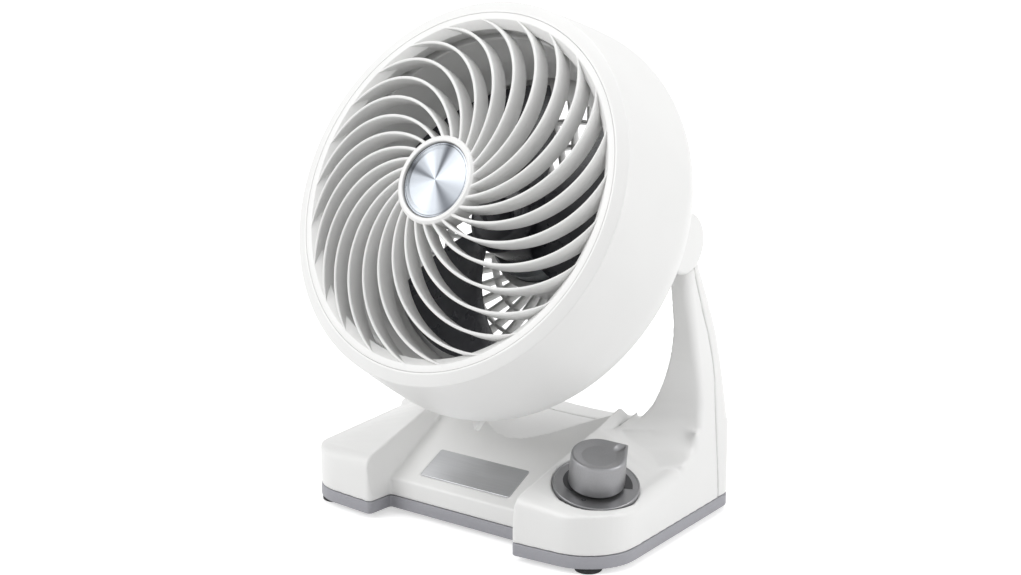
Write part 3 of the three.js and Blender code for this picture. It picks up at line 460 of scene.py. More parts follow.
def add_node(tree, kind, values=None, links=None):
    """Adds a node, sets its properties and sockets, and links its inputs to other nodes' outputs."""
    node = tree.nodes.new(kind)
    for key, value in (values or {}).items():
        if isinstance(key, str) and hasattr(node, key):
            setattr(node, key, value)
        else:
            node.inputs[key].default_value = value
    for key, output in (links or {}).items():
        tree.links.new(output, node.inputs[key])
    return node


def blank(name, **sockets):
    """A new material with a Principled shader, whose sockets are set directly."""
    material = bpy.data.materials.new(name)
    material.use_nodes = True
    tree = material.node_tree
    shader = tree.nodes["Principled BSDF"]
    for key, value in sockets.items():
        shader.inputs[key.replace("_", " ")].default_value = value
    return material, tree, shader


def grain_of(tree, size, detail=2.0, stretch=(1, 1, 1)):
    """Noise whose grains have the given size in millimetres, in the piece's own frame."""
    place = add_node(tree, "ShaderNodeTexCoord")
    scaled = add_node(tree, "ShaderNodeMapping", {"Scale": stretch}, {"Vector": place.outputs["Object"]})
    values = {"Scale": 1 / (size * MM), "Detail": detail, "Roughness": 0.55}
    return add_node(tree, "ShaderNodeTexNoise", values, {"Vector": scaled.outputs["Vector"]})


def vary(tree, shader, socket, source, low, high):
    """Lets a socket run between two values with a pattern."""
    spread = {"From Min": 0.3, "From Max": 0.7, "To Min": low, "To Max": high}
    ranged = add_node(tree, "ShaderNodeMapRange", spread, {"Value": source})
    tree.links.new(ranged.outputs["Result"], shader.inputs[socket])


def between(tree, share, code, other):
    """A colour that runs from one value to another. The mixing node's colour sockets go by number."""
    mix = add_node(tree, "ShaderNodeMix", {"data_type": "RGBA"}, {"Factor": share})
    mix.inputs[6].default_value = (*code, 1)
    mix.inputs[7].default_value = (*other, 1)
    return mix.outputs[2]


def tint(tree, shader, source, code, depth):
    """Lets the colour run between itself and a slightly deeper one with a pattern."""
    deeper = tuple(c * (1 - depth) for c in code)
    ranged = add_node(tree, "ShaderNodeMapRange", {"From Min": 0.3, "From Max": 0.7}, {"Value": source})
    tree.links.new(between(tree, ranged.outputs["Result"], code, deeper), shader.inputs["Base Color"])


def bump(tree, shader, height, strength, distance):
    """Raises the surface by a pattern, by a distance in millimetres."""
    values = {"Strength": strength, "Distance": distance * MM}
    raised = add_node(tree, "ShaderNodeBump", values, {"Height": height})
    tree.links.new(raised.outputs["Normal"], shader.inputs["Normal"])


def white_abs():
    """ABS moulded in a fine-etched tool: an even satin white whose soft sheen breaks up very slightly."""
    code = tuple(settings(Finishes).white)
    material, tree, shader = blank("white_ABS_satin_moulded", Roughness=0.36, IOR=1.53)
    etch = grain_of(tree, 0.7)
    flow = grain_of(tree, 38, 1.0)
    tint(tree, shader, flow.outputs["Fac"], code, 0.018)
    vary(tree, shader, "Roughness", flow.outputs["Fac"], 0.33, 0.4)
    bump(tree, shader, etch.outputs["Fac"], 0.12, 0.02)
    return material


def grey_abs():
    """ABS moulded in a spark-eroded tool: a matt mid grey with a visible fine grain."""
    code = tuple(settings(Finishes).grey)
    material, tree, shader = blank("grey_ABS_textured_moulded", Roughness=0.5, IOR=1.53)
    etch = grain_of(tree, 0.6, 3.0)
    tint(tree, shader, etch.outputs["Fac"], code, 0.06)
    vary(tree, shader, "Roughness", etch.outputs["Fac"], 0.45, 0.58)
    bump(tree, shader, etch.outputs["Fac"], 0.3, 0.04)
    return material


def blade_polypropylene():
    """Polypropylene moulded in a polished tool: a near-black blade with a cool, slightly wavy shine."""
    code = tuple(settings(Finishes).blades)
    material, tree, shader = blank("charcoal_polypropylene_polished_moulded", Roughness=0.3, IOR=1.49)
    flow = grain_of(tree, 14, 2.0, (1, 1, 0.4))
    tint(tree, shader, flow.outputs["Fac"], code, 0.15)
    vary(tree, shader, "Roughness", flow.outputs["Fac"], 0.24, 0.36)
    bump(tree, shader, flow.outputs["Fac"], 0.1, 0.1)
    return material


def silver_paint():
    """ABS sprayed with aluminium paint: a satin silver whose flakes give a fine sparkle."""
    code = tuple(settings(Finishes).silver)
    sockets = {"Metallic": 0.85, "Roughness": 0.36, "Coat_Weight": 0.15, "Coat_Roughness": 0.2}
    material, tree, shader = blank("silver_paint_sprayed_on_ABS", **sockets)
    flake = grain_of(tree, 0.35, 2.0)
    tint(tree, shader, flake.outputs["Fac"], code, 0.12)
    vary(tree, shader, "Roughness", flake.outputs["Fac"], 0.32, 0.42)
    bump(tree, shader, flake.outputs["Fac"], 0.12, 0.015)
    return material


def brushed_plate():
    """Aluminium sheet, brushed along its length: a pale plate whose fine streaks spread its shine crosswise.
    The streaks are drawn three times as coarse as real ones, so that they show."""
    code = tuple(settings(Finishes).plate)
    material, tree, shader = blank("satin_aluminium_brushed", Metallic=1.0, Roughness=0.34, Anisotropic=0.4)
    streak = grain_of(tree, 0.5, 3.0, (0.02, 1, 1))
    tint(tree, shader, streak.outputs["Fac"], code, 0.06)
    vary(tree, shader, "Roughness", streak.outputs["Fac"], 0.28, 0.42)
    bump(tree, shader, streak.outputs["Fac"], 0.15, 0.01)
    return material


# Painted reflection on the spun disc: how dark the shine painted into its colour is in each direction, as (degrees
# from its X, share).
PAINTED_SHINE_SECTORS = (
    (-180, 0.4), (-150, 0.15), (-105, 0.0), (-75, 0.3), (-48, 0.85), (-20, 0.5), (28, 0.0), (62, 0.25),
    (82, 0.9), (98, 0.4), (125, 0.0), (148, 0.5), (164, 0.85), (180, 0.4),
)


PAINTED_DARK_REFLECTION = "#2A2C30"  # colour painted on the disc as its reflection of the dark of the room
RING_PITCH = 0.22


def spun_disc():
    """Aluminium disc, spun in fine rings: bright and dark sectors about the middle are painted into its colour as
    a painted reflection of its shine, on top of its real anisotropic shine.
    The rings are drawn four times as coarse as real ones, so that they show."""
    code = tuple(settings(Finishes).disc)
    material, tree, shader = blank("aluminium_disc_spun", Metallic=1.0, Roughness=0.24, Anisotropic=0.75)
    place = add_node(tree, "ShaderNodeTexCoord")
    in_plane = {"operation": "MULTIPLY", 1: (1, 1, 0)}
    flat = add_node(tree, "ShaderNodeVectorMath", in_plane, {0: place.outputs["Object"]})
    reach = add_node(tree, "ShaderNodeVectorMath", {"operation": "LENGTH"}, {0: flat.outputs["Vector"]})
    fine_rings = {"noise_dimensions": "1D", "Scale": 1 / (RING_PITCH * MM), "Detail": 3.0}
    rings = add_node(tree, "ShaderNodeTexNoise", fine_rings, {"W": reach.outputs["Value"]})
    parts = add_node(tree, "ShaderNodeSeparateXYZ", None, {"Vector": place.outputs["Object"]})
    flat_parts = {0: parts.outputs["Y"], 1: parts.outputs["X"]}
    turn = add_node(tree, "ShaderNodeMath", {"operation": "ARCTAN2"}, flat_parts)
    full_turn = {"From Min": -math.pi, "From Max": math.pi}
    share = add_node(tree, "ShaderNodeMapRange", full_turn, {"Value": turn.outputs["Value"]})
    # painted reflection: a ramp on the direction about the middle darkens the disc's colour in sectors
    sheen = add_node(tree, "ShaderNodeValToRGB", None, {"Fac": share.outputs["Result"]})
    sheen.color_ramp.interpolation = "EASE"
    stops = sheen.color_ramp.elements
    for degrees, _ in PAINTED_SHINE_SECTORS[1:-1]:
        stops.new((degrees + 180) / 360)
    for stop, (degrees, dark) in zip(stops, PAINTED_SHINE_SECTORS):
        stop.position = (degrees + 180) / 360
        stop.color = (dark, dark, dark, 1)
    ring_depth = {"To Min": -0.06, "To Max": 0.1}
    fine = add_node(tree, "ShaderNodeMapRange", ring_depth, {"Value": rings.outputs["Fac"]})
    both = {0: sheen.outputs["Color"], 1: fine.outputs["Result"]}
    depth = add_node(tree, "ShaderNodeMath", {"operation": "ADD"}, both)
    # the disc's colour runs from its own towards the painted dark reflection, by the painted sectors plus the real
    # ring grain
    shine = between(tree, depth.outputs["Value"], code, linear(PAINTED_DARK_REFLECTION))
    tree.links.new(shine, shader.inputs["Base Color"])
    around = add_node(tree, "ShaderNodeTangent", {"direction_type": "RADIAL", "axis": "Z"})
    tree.links.new(around.outputs["Tangent"], shader.inputs["Tangent"])
    bump(tree, shader, rings.outputs["Fac"], 0.12, 0.01)
    return material


def zinc_steel():
    """Steel, zinc-plated: a bright grey with a faint mottled bloom."""
    code = tuple(settings(Finishes).steel)
    material, tree, shader = blank("steel_zinc_plated", Metallic=1.0, Roughness=0.33)
    bloom = grain_of(tree, 1.8, 3.0)
    tint(tree, shader, bloom.outputs["Fac"], code, 0.12)
    vary(tree, shader, "Roughness", bloom.outputs["Fac"], 0.27, 0.42)
    return material


def cast_aluminium():
    """Aluminium, die cast: a dull grey skin with a fine sandy grain."""
    code = tuple(settings(Finishes).motor)
    material, tree, shader = blank("aluminium_die_cast", Metallic=0.9, Roughness=0.48)
    sand = grain_of(tree, 0.8, 3.0)
    tint(tree, shader, sand.outputs["Fac"], code, 0.15)
    bump(tree, shader, sand.outputs["Fac"], 0.3, 0.05)
    return material


def rubber():
    """Rubber, compression moulded: soft black that hardly shines."""
    code = tuple(settings(Finishes).rubber)
    material, tree, shader = blank("rubber_compression_moulded", Roughness=0.8, IOR=1.52)
    dust = grain_of(tree, 1.2, 3.0)
    tint(tree, shader, dust.outputs["Fac"], code, 0.2)
    bump(tree, shader, dust.outputs["Fac"], 0.3, 0.05)
    return material


def black_abs():
    """ABS moulded in a plain tool: a matt black insert."""
    code = tuple(settings(Finishes).black)
    material, tree, shader = blank("black_ABS_moulded", Roughness=0.5, IOR=1.53)
    etch = grain_of(tree, 0.6)
    tint(tree, shader, etch.outputs["Fac"], code, 0.15)
    bump(tree, shader, etch.outputs["Fac"], 0.2, 0.02)
    return material


def solder_mask():
    """Glass-epoxy board under solder mask: a glossy green that shows the weave faintly."""
    code = tuple(settings(Finishes).board)
    material, tree, shader = blank("glass_epoxy_board_solder_masked", Roughness=0.28, IOR=1.5)
    weave = grain_of(tree, 1.0)
    tint(tree, shader, weave.outputs["Fac"], code, 0.1)
    return material


def dial_print():
    """Ink, pad-printed on paint: a flat charcoal film with a slightly uneven edge to its shine."""
    code = tuple(settings(Finishes).ink)
    material, tree, shader = blank("charcoal_ink_pad_printed", Roughness=0.55, IOR=1.5)
    film = grain_of(tree, 0.5)
    tint(tree, shader, film.outputs["Fac"], code, 0.2)
    return material


MAKERS = {
    "white_plastic": white_abs,
    "grey_plastic": grey_abs,
    "dark_plastic": blade_polypropylene,
    "black_plastic": black_abs,
    "rubber": rubber,
    "satin_silver": silver_paint,
    "brushed_metal": spun_disc,
    "silver_plate": brushed_plate,
    "steel": zinc_steel,
    "motor_case": cast_aluminium,
    "circuit_board": solder_mask,
    "print": dial_print,
}
made_finishes = {}


def finish_for(slot):
    """The material of a slot, made once."""
    if slot not in made_finishes:
        made_finishes[slot] = MAKERS[slot]()
    return made_finishes[slot]


# ---------------------------------------------------------------- the head

PIVOT_DEPTH = 80.3  # depth of the pivot behind the rim plane
PIVOT_ABOVE = (PIVOT - FAN_FOOT).length  # height of the pivot above the fan's axis
HEAD = standing_frame(FAN_FOOT + FAN_AXIS * PIVOT_DEPTH, FAN_AXIS)
AT_PIVOT = Matrix.Translation((0, PIVOT_ABOVE, -PIVOT_DEPTH))
SEAT_GAP = 0.3  # between pieces that touch

EAR_R = 18
EAR_END = 111  # outer face of the ear, from the middle
EAR_ROUND = 2.5
EAR_CLEAR = 0.9  # around the ear, in the arm
EYE_R = 15.5
EYE_AT = 96.5  # inner face of the arm's eye, from the middle
EYE_END = 100.9
BOSS_R = 10
BOSS_AT = 88
BOSS_END = 95.0
CATCH_TAB = ((-85.5, 118.5), (-81, 118.5), (-83.2, 126.5))  # tab under the shroud, as (direction, radius)
CATCH_TAB_AT = (-66, -62)
FLANGE = 2.2  # wall around the grille's socket
LIP = 11  # how far the shoulder's flat back runs in under the rear housing
HOLLOW_FROM = 12  # depth from which the shroud's inside follows its outside


def about_pivot(made):
    """Turns a shape drawn about Z into one about the pivot, in the fan's frame."""
    return moved(moved(made, ALONG_X), AT_PIVOT)


def shroud_line(size, inset):
    """Outside of the shroud from its rim to its shoulder, drawn in by inset."""
    rim, wide = size.rim_radius, size.shroud_radius
    line = []
    for a in np.radians(np.linspace(20, 90, 7)):
        side = rim - size.rim_round * (1 - math.sin(a)) - inset
        line.append((side, -size.rim_fall - size.rim_round * (1 - math.cos(a)) - inset))
    for share in np.linspace(0, 1, 14)[1:-1]:
        start = size.rim_fall + size.rim_round
        depth = start + (size.shroud_wide_at - start) * share
        line.append((rim + (wide - rim) * (1 - (1 - share) ** 1.25) - inset, -depth))
    shoulder = size.back_radius + 1
    for a in np.radians(np.linspace(0, 90, 22)):
        depth = size.shroud_wide_at + (size.shroud_depth - size.shroud_wide_at - inset) * math.sin(a)
        line.append((shoulder + (wide - shoulder - inset) * math.cos(a), -depth))
    return line


def shroud():
    """The white shroud with its round rim, and an ear each side that covers the arm's eye."""
    size = Millimetres(HeadSizes)
    socket, depth = size.socket_radius, size.socket_depth
    lip = size.back_radius - LIP
    inner = [p for p in shroud_line(size, size.wall) if p[1] < -HOLLOW_FROM][::-1]
    slope_end = (size.rim_radius - size.rim_round, -size.rim_fall, 0)
    face = rounded([(socket, -4, 0), (socket, 0, 0.35), (size.rim_flat, 0, 1.5), slope_end])
    profile = (
        face[:-1]
        + shroud_line(size, 0)
        + [(lip, -size.shroud_depth), (lip, -size.shroud_depth + size.wall)]
        + inner
        + [
            (size.rim_radius - size.wall, -size.rim_fall - size.wall),
            (socket + FLANGE, -size.wall),
            (socket + FLANGE, -depth - FLANGE),
            (socket - 3, -depth - FLANGE),
            (socket - 3, -depth),
            (socket, -depth),
        ]
    )
    shell = turned(profile, closed=True)
    ear_line = [(0, EYE_END + SEAT_GAP), (EAR_R, EYE_END + SEAT_GAP)]
    ear_line += rounded([(EAR_R, EYE_END + 1, 0), (EAR_R, EAR_END, EAR_ROUND), (0, EAR_END, 0)])[1:]
    ears = both_sides(lambda: about_pivot(turned(ear_line, 96)))
    rooms = both_sides(lambda: about_pivot(rod(EYE_R + 1, BOSS_END, EYE_END + SEAT_GAP, 96)))
    bosses = both_sides(lambda: about_pivot(rod(BOSS_R, BOSS_AT, BOSS_END)))
    tab = [(reach * math.cos(math.radians(a)), reach * math.sin(math.radians(a))) for a, reach in CATCH_TAB]
    joined(shell, *ears, prism(tab, *CATCH_TAB_AT))
    cut(shell, *rooms)
    joined(shell, *bosses)
    return shell


DOME_CROWN = 1.3  # how much higher than the hub's seat the dome would be on the axis
DOME_POWER = 2.7  # how flat its middle is


def dome_front(size, radius):
    """Front of the vanes: a dome that is nearly flat in the middle and falls steeply to the ring."""
    share = radius / (size.ring_radius + size.chamfer - 0.4)
    return -size.ring_set + (size.dome + DOME_CROWN) * max(1 - share**DOME_POWER, 0)


VANE_FIRST = math.radians(121.4)  # direction of the first vane's arc centre
VANE_STATIONS = 40
VANE_RUN_OUT = 2.6  # how far a vane's thin tip runs on over the face of the ring
VANE_TIP_DEPTH = 0.55  # height of a vane at its tip, as a share of the rest
VANE_ROOT_IN = 1.2  # how far it reaches into the hub


def vane(size, index):
    """One vane: an upright strip along an arc, rounded at its front, which thins out on the ring."""
    turn = VANE_FIRST + index * 2 * math.pi / size.vanes
    ring, tip = size.ring_radius, size.ring_radius + size.chamfer + VANE_RUN_OUT
    centre_at, arc = size.vane_arc_at, size.vane_arc
    rings = []
    for radius in np.linspace(size.hub_radius - VANE_ROOT_IN, tip, VANE_STATIONS):
        swing = math.acos((radius**2 - centre_at**2 - arc**2) / (2 * centre_at * arc))
        along = turn - swing
        out = np.array((math.cos(along), math.sin(along), 0))
        middle = np.array((math.cos(turn), math.sin(turn), 0)) * centre_at + out * arc
        thin = float(np.clip((tip - radius) / (tip - ring + 1), 0, 1)) ** 0.7
        half = size.vane_thickness / 2 * max(thin, 0.12)
        front = dome_front(size, radius)
        inward = float(np.clip((tip - radius) / (tip - ring), 0, 1))
        depth = size.vane_depth * (VANE_TIP_DEPTH + (1 - VANE_TIP_DEPTH) * inward)
        section = []
        for a in np.radians(np.linspace(0, 180, 9)):
            section.append((half * math.cos(a), front - half + half * math.sin(a)))
        for a in np.radians(np.linspace(180, 360, 5)):
            section.append((half * 0.7 * math.cos(a), front - depth + half * 0.7 + half * 0.7 * math.sin(a)))
        rings.append([tuple(middle + out * side + (0, 0, z)) for side, z in section])
    return loft(rings)


RING_WALL = 2.4
RING_STEP = 5.6  # thickness of the ring's front
RING_LENGTH = 11.2  # length of its inner tube
SKIRT_WALL = 2.2  # wall of the skirt that goes into the socket
HUB_LIP = 1.6  # how far the hub's white ring stands over the dome
HUB_SINK = 1.2  # how far the seat of its disc lies under the dome


def front_grille():
    """The spiral-vaned grille: a stepped ring, a hub ring and the vanes between them."""
    size = Millimetres(HeadSizes)
    ring, front, chamfer = size.ring_radius, -size.ring_set, size.chamfer
    outside, back = size.socket_radius - 0.12, -size.socket_depth + SEAT_GAP
    step, end = front - RING_STEP, front - RING_LENGTH
    outline = [
        (ring, front - chamfer + 0.2, 0.5),
        (ring + chamfer, front, 0.5),
        (outside, front, 0.25),
        (outside, back, 0.3),
        (outside - SKIRT_WALL, back, 0.3),
        (outside - SKIRT_WALL, step, 0),
        (ring + RING_WALL, step, 0),
        (ring + RING_WALL, end, 0.6),
        (ring, end, 0.6),
    ]
    parts = [turned(rounded(outline), closed=True)]
    face = size.dome + HUB_LIP
    hub = size.hub_radius
    seat = size.dome - HUB_SINK
    hub_line = [
        (0, seat - 2.4, 0),
        (hub - 3.2, seat - 2.4, 0.4),
        (hub - 2.6, size.dome - size.vane_depth, 0.4),
        (hub - 0.9, size.dome - size.vane_depth, 0.4),
        (hub, face - 1.2, 0.8),
        (hub - 1.5, face, 0.9),
        (size.badge_radius + 0.4, face - 0.1, 0.5),
        (size.badge_radius + 0.4, seat, 0),
        (0, seat, 0),
    ]
    parts.append(turned(rounded(hub_line), 128))
    parts += [vane(size, i) for i in range(size.vanes)]
    return joined(*parts)


def hub_disc():
    """The bare metal disc in the hub, with a rolled edge."""
    size = Millimetres(HeadSizes)
    back = size.dome - 0.9
    radius = size.badge_radius
    line = [
        (0, back, 0),
        (radius, back, 0),
        (radius, back + 1.1, 0.35),
        (radius - 1.1, back + 1.2, 0.25),
        (radius - 1.6, back + 0.9, 0.3),
        (radius - 4, back + 1.15, 1.5),
        (0, back + 1.6, 0),
    ]
    return turned(rounded(line), 128)


DUCT_WALL = 2.2
DUCT_BEND_AT = 40  # depth of the soft bend where the duct turns from a funnel into a tube
DUCT_BEND_R = 40


def inner_duct():
    """The duct around the blades, which the grille's socket clamps."""
    size = Millimetres(HeadSizes)
    front = -(size.socket_depth + FLANGE + SEAT_GAP)
    wall = DUCT_WALL
    radius = size.duct_radius
    outline = [
        (size.socket_radius + 1.8, front, 0.3),
        (size.socket_radius + 1.8, front - wall, 0.3),
        (size.ring_radius + 1.2, front - wall, 1.5),
        (radius + wall + 1.4, -DUCT_BEND_AT, DUCT_BEND_R),
        (radius + wall, -size.duct_end, 0.6),
        (radius, -size.duct_end, 0.6),
        (radius + 1.4, -DUCT_BEND_AT, DUCT_BEND_R),
        (size.ring_radius - 0.8, front, 1.2),
    ]
    return turned(rounded(outline, 6), closed=True)


REAR_WALL_END = 94  # depth at which the rear housing's wall turns into its grille
REAR_DOME = 124  # depth of its middle
REAR_RINGS = 3
REAR_BARS = 36
BAR_T = 2
BAR_DEPTH = 8
BAR_ROUND = 0.8
RING_SET_IN = 0.6  # how much lower the rings of the rear grille are than its bars, on each side
REAR_WALL_EDGE = 4
CUP_R = 34
CUP_BEHIND = 12  # how far behind the motor's front its cup starts
MOTOR_R = 29
MOTOR_FRONT = 80
MOTOR_BACK = 114
SCREW_R = 1.9
SCREW_HEAD_R = 3.5
SCREW_BOSS_R = 4.2
SCREW_SEAT = 6  # plastic under the head of a head screw
HEAD_SCREW_AT = 87
HEAD_SCREW_TURNS = (45, 135, 225, 315)
MOTOR_SCREW_AT = 20


def rear_depth(size, radius):
    """Depth of the back of the rear grille, a dome."""
    return -REAR_WALL_END - (REAR_DOME - REAR_WALL_END) * (1 - (radius / size.back_radius) ** 2.4)


def rear_housing():
    """The rear housing: its side wall, the domed grille of rings and spokes, and the motor's cup."""
    size = Millimetres(HeadSizes)
    back, wall = size.back_radius, size.wall
    front = -size.shroud_depth - SEAT_GAP
    outline = [
        (back - wall, front, 0.4),
        (back, front, 0.4),
        (back, -REAR_WALL_END, 1.2),
        (back - wall, -REAR_WALL_END - REAR_WALL_EDGE, 0.8),
    ]
    whole = turned(rounded(outline), closed=True)
    cup_front = -(MOTOR_FRONT + CUP_BEHIND)
    cup_line = [
        (0, -MOTOR_BACK - SEAT_GAP, 0),
        (MOTOR_R + SEAT_GAP, -MOTOR_BACK - SEAT_GAP, 0),
        (MOTOR_R + SEAT_GAP, cup_front, 0.5),
        (CUP_R, cup_front, 0.8),
        (CUP_R, rear_depth(size, CUP_R) - 1, 1.5),
        (CUP_R - 3, -REAR_DOME - 1.6, 1.5),
        (0, -REAR_DOME - 1.6, 0),
    ]
    parts = [turned(rounded(cup_line)[::-1], 96)]
    for radius in np.linspace(CUP_R, back - wall, REAR_RINGS + 2)[1:-1]:
        z = rear_depth(size, radius)
        low, high = z + RING_SET_IN, z + BAR_DEPTH - RING_SET_IN
        ring = rounded_block(radius - BAR_T / 2, radius + BAR_T / 2, low, high, BAR_ROUND, 3)
        parts.append(turned(ring, 144, closed=True))
    for i in range(REAR_BARS):
        turn = (i + 0.5) * 2 * math.pi / REAR_BARS
        out = np.array((math.cos(turn), math.sin(turn), 0))
        side = np.array((-math.sin(turn), math.cos(turn), 0))
        rings = []
        for radius in np.linspace(CUP_R - 1.5, back - 1.4, 20):
            z = rear_depth(size, radius)
            outline = rounded_block(-BAR_T / 2, BAR_T / 2, z, z + BAR_DEPTH, BAR_ROUND, 3)
            rings.append([tuple(out * radius + side * s + (0, 0, h)) for s, h in outline])
        parts.append(loft(rings))
    turns = np.radians(HEAD_SCREW_TURNS)
    places = [(HEAD_SCREW_AT * math.cos(a), HEAD_SCREW_AT * math.sin(a)) for a in turns]
    parts += [shifted(rod(SCREW_BOSS_R, -REAR_WALL_END - 2, front, 32), x, y, 0) for x, y in places]
    joined(whole, *parts)
    seat = front - SCREW_SEAT
    tools = [shifted(rod(SCREW_HEAD_R, -REAR_DOME, seat, 32), x, y, 0) for x, y in places]
    tools += [shifted(rod(SCREW_R, -REAR_DOME, -70, 24), x, y, 0) for x, y in places]
    for x in (-MOTOR_SCREW_AT, MOTOR_SCREW_AT):
        tools.append(shifted(rod(SCREW_R, -REAR_DOME - 4, -MOTOR_BACK + 2, 24), x, 0, 0))
    tools += both_sides(lambda: about_pivot(rod(BOSS_R + SEAT_GAP, BOSS_AT - 6, EYE_END)))
    return cut(whole, *tools)


BLADES = 3
BLADE_HUB_R = 23
BLADE_TIP_R = 87.5
BLADE_TURN = -13  # where the first blade stands at its root, in degrees
BLADE_SWEEP = 26  # how far it turns on its way out
BLADE_SPREAD = 76  # how wide it is at its root
BLADE_TRIM = 2.5  # how much lower its tip is, front and back
BLADE_FRONT = 45
BLADE_BACK = 72
BLADE_T = 2.4
SHAFT_BORE_R = 4.3


def blade(index):
    """One blade: a twisted, cupped plate that widens to its tip, with rounded edges."""
    rings = []
    for t in np.linspace(0, 1, 24):
        radius = BLADE_HUB_R - 1.2 + (BLADE_TIP_R - BLADE_HUB_R + 1.2) * t
        spread = math.radians(BLADE_SPREAD - 8 * t + 10 * t * t)
        lead = math.radians(index * 360 / BLADES + BLADE_SWEEP * t + BLADE_TURN)
        trim = BLADE_TRIM * t * t

        def height(u):
            rise = 0.5 - 0.5 * math.cos(math.pi * (0.12 + 0.76 * u))
            return -BLADE_BACK + trim + (BLADE_BACK - BLADE_FRONT - 2 * trim - BLADE_T) * rise

        def point(u, z):
            angle = lead + spread * (u - 0.5)
            return (radius * math.cos(angle), radius * math.sin(angle), z)

        us = np.linspace(0, 1, 21)
        thick = [BLADE_T * min(1, 0.35 + 1.3 * math.sqrt(max(0, min(u, 1 - u)) * 4)) for u in us]
        top = [point(u, height(u) + BLADE_T / 2 + w / 2) for u, w in zip(us, thick)]
        low = [point(u, height(u) + BLADE_T / 2 - w / 2) for u, w in zip(us, thick)]
        rings.append(top + low[::-1])
    return loft(rings)


def impeller():
    """The impeller: a hub cup and three deep-pitch blades."""
    hub_line = [
        (SHAFT_BORE_R, -BLADE_FRONT, 0.5),
        (BLADE_HUB_R - 5, -BLADE_FRONT, 4),
        (BLADE_HUB_R, -BLADE_FRONT - 6, 3),
        (BLADE_HUB_R, -BLADE_BACK, 0.6),
        (BLADE_HUB_R - 2.4, -BLADE_BACK, 0.6),
        (BLADE_HUB_R - 2.4, -BLADE_FRONT - 7, 2),
        (SHAFT_BORE_R + 3.4, -BLADE_FRONT - 4, 0.8),
        (SHAFT_BORE_R + 3.4, -BLADE_BACK + 2, 0.5),
        (SHAFT_BORE_R, -BLADE_BACK + 2, 0),
    ]
    hub = turned(rounded(hub_line), 96, closed=True)
    return joined(hub, *[blade(i) for i in range(BLADES)])


# ---------------------------------------------------------------- the base

WALL = 2.6
BASE_HALF = 117  # half width, where the front and side lines cross
BASE_REAR_HALF = 104
BASE_FRONT = -62
BASE_REAR = 95.5
FRONT_SWEEP = 0.08
CORNER_R = 32
REAR_CORNER_R = 14
RECESS_HALF = 54
RECESS_FRONT = -43
RECESS_Z = 22
PANEL_SLOPE = 0.535
LOBE_DRAFT = 0.09
LOBE_INNER_Z = 37.5
LOBE_INNER_SLOPE = 0.32
LOBE_OUTER_Z = 33
LOBE_OUTER_SLOPE = 0.12
LOBE_ROUND = 8
LOBE_NOSE = 5  # rounding of a lobe's top front edge
LOBE_END = 46
REAR_TOP = 60
REAR_ROUND = 9
REAR_LEAN = 4  # how far the back wall leans in at its top
ARM_ROOT = 60
ARM_CORNER = 5
ARM_REAR_CORNER = ((50, 115), (12, 5))  # heights, and the rear corner's radius at each
ARM_HOLLOW_TO = 152
FRONT_CORNER_Y = BASE_FRONT + FRONT_SWEEP * (BASE_HALF - RECESS_HALF)

# Inner face of the U-shaped channel between the arms, as (x, z), from the middle up the right arm.
CHANNEL = (
    (0, 44.5), (30, 45.5), (54, 50), (64, 54.5), (71, 60), (76, 66.5), (81.5, 75.5),
    (88, 90), (92.3, 105), (94.7, 120), (96, 138), (96.4, 200),
)
# Crest where the panel and the lobes' tops end and the channel begins, as (x, y) in plan.
CREST = ((0, 4.5), (12, 6.5), (29, 17), (42, 27), (56, 36), (65, 37.5), (74, 35))
CREST_SIDE = ((80, 24), (120, 22))
# Edges of an arm in plan, as (height, front at its inner edge, front at its outer edge, rear).
ARM = (
    (44, -20, 30, 93.5), (50, -5, 45.6, 93), (54, 5, 48.9, 92.2), (58, 14, 50.5, 91.5), (62, 23, 51, 90.5),
    (66, 31, 51, 89.5), (70, 35, 51, 88), (76, 37.3, 51, 86), (90, 37.1, 49, 81), (104, 37.5, 45, 75.5),
    (118, 37.6, 41, 69.5), (131, 36, 37, 63), (145, 33.5, 33, 55.5), (158, 31.5, 31.5, 48), (172, 30, 30, 41),
)
# Seam between the front housing and the rear cover, as (y, z), seen from the side.
SEAM = (
    (75.5, 0), (75, 20), (69, 72), (65.5, 95), (60, 112), (54, 125), (46, 142), (40, 156), (36, 166),
)


def side_x(y):
    """Line of the side wall in plan: it narrows towards the back."""
    return BASE_HALF + (BASE_REAR_HALF - BASE_HALF) * (y - FRONT_CORNER_Y) / (BASE_REAR - FRONT_CORNER_Y)


def base_plan(inset, steps=14):
    """Plan of the whole base, drawn in by inset."""

    def side(s):
        return [
            (s * (RECESS_HALF + inset), RECESS_FRONT + inset, 1.5),
            (s * (RECESS_HALF + inset), BASE_FRONT + inset, 2.5),
            (s * (BASE_HALF - inset), FRONT_CORNER_Y + inset, CORNER_R - inset),
            (s * (BASE_REAR_HALF - inset), BASE_REAR - inset, REAR_CORNER_R - inset),
        ]

    return rounded(side(1) + side(-1)[::-1], steps)


def housing_foot():
    """Height of the foot of the white housing."""
    size = Millimetres(BaseSizes)
    return size.foot_height + size.band_height + SEAT_GAP


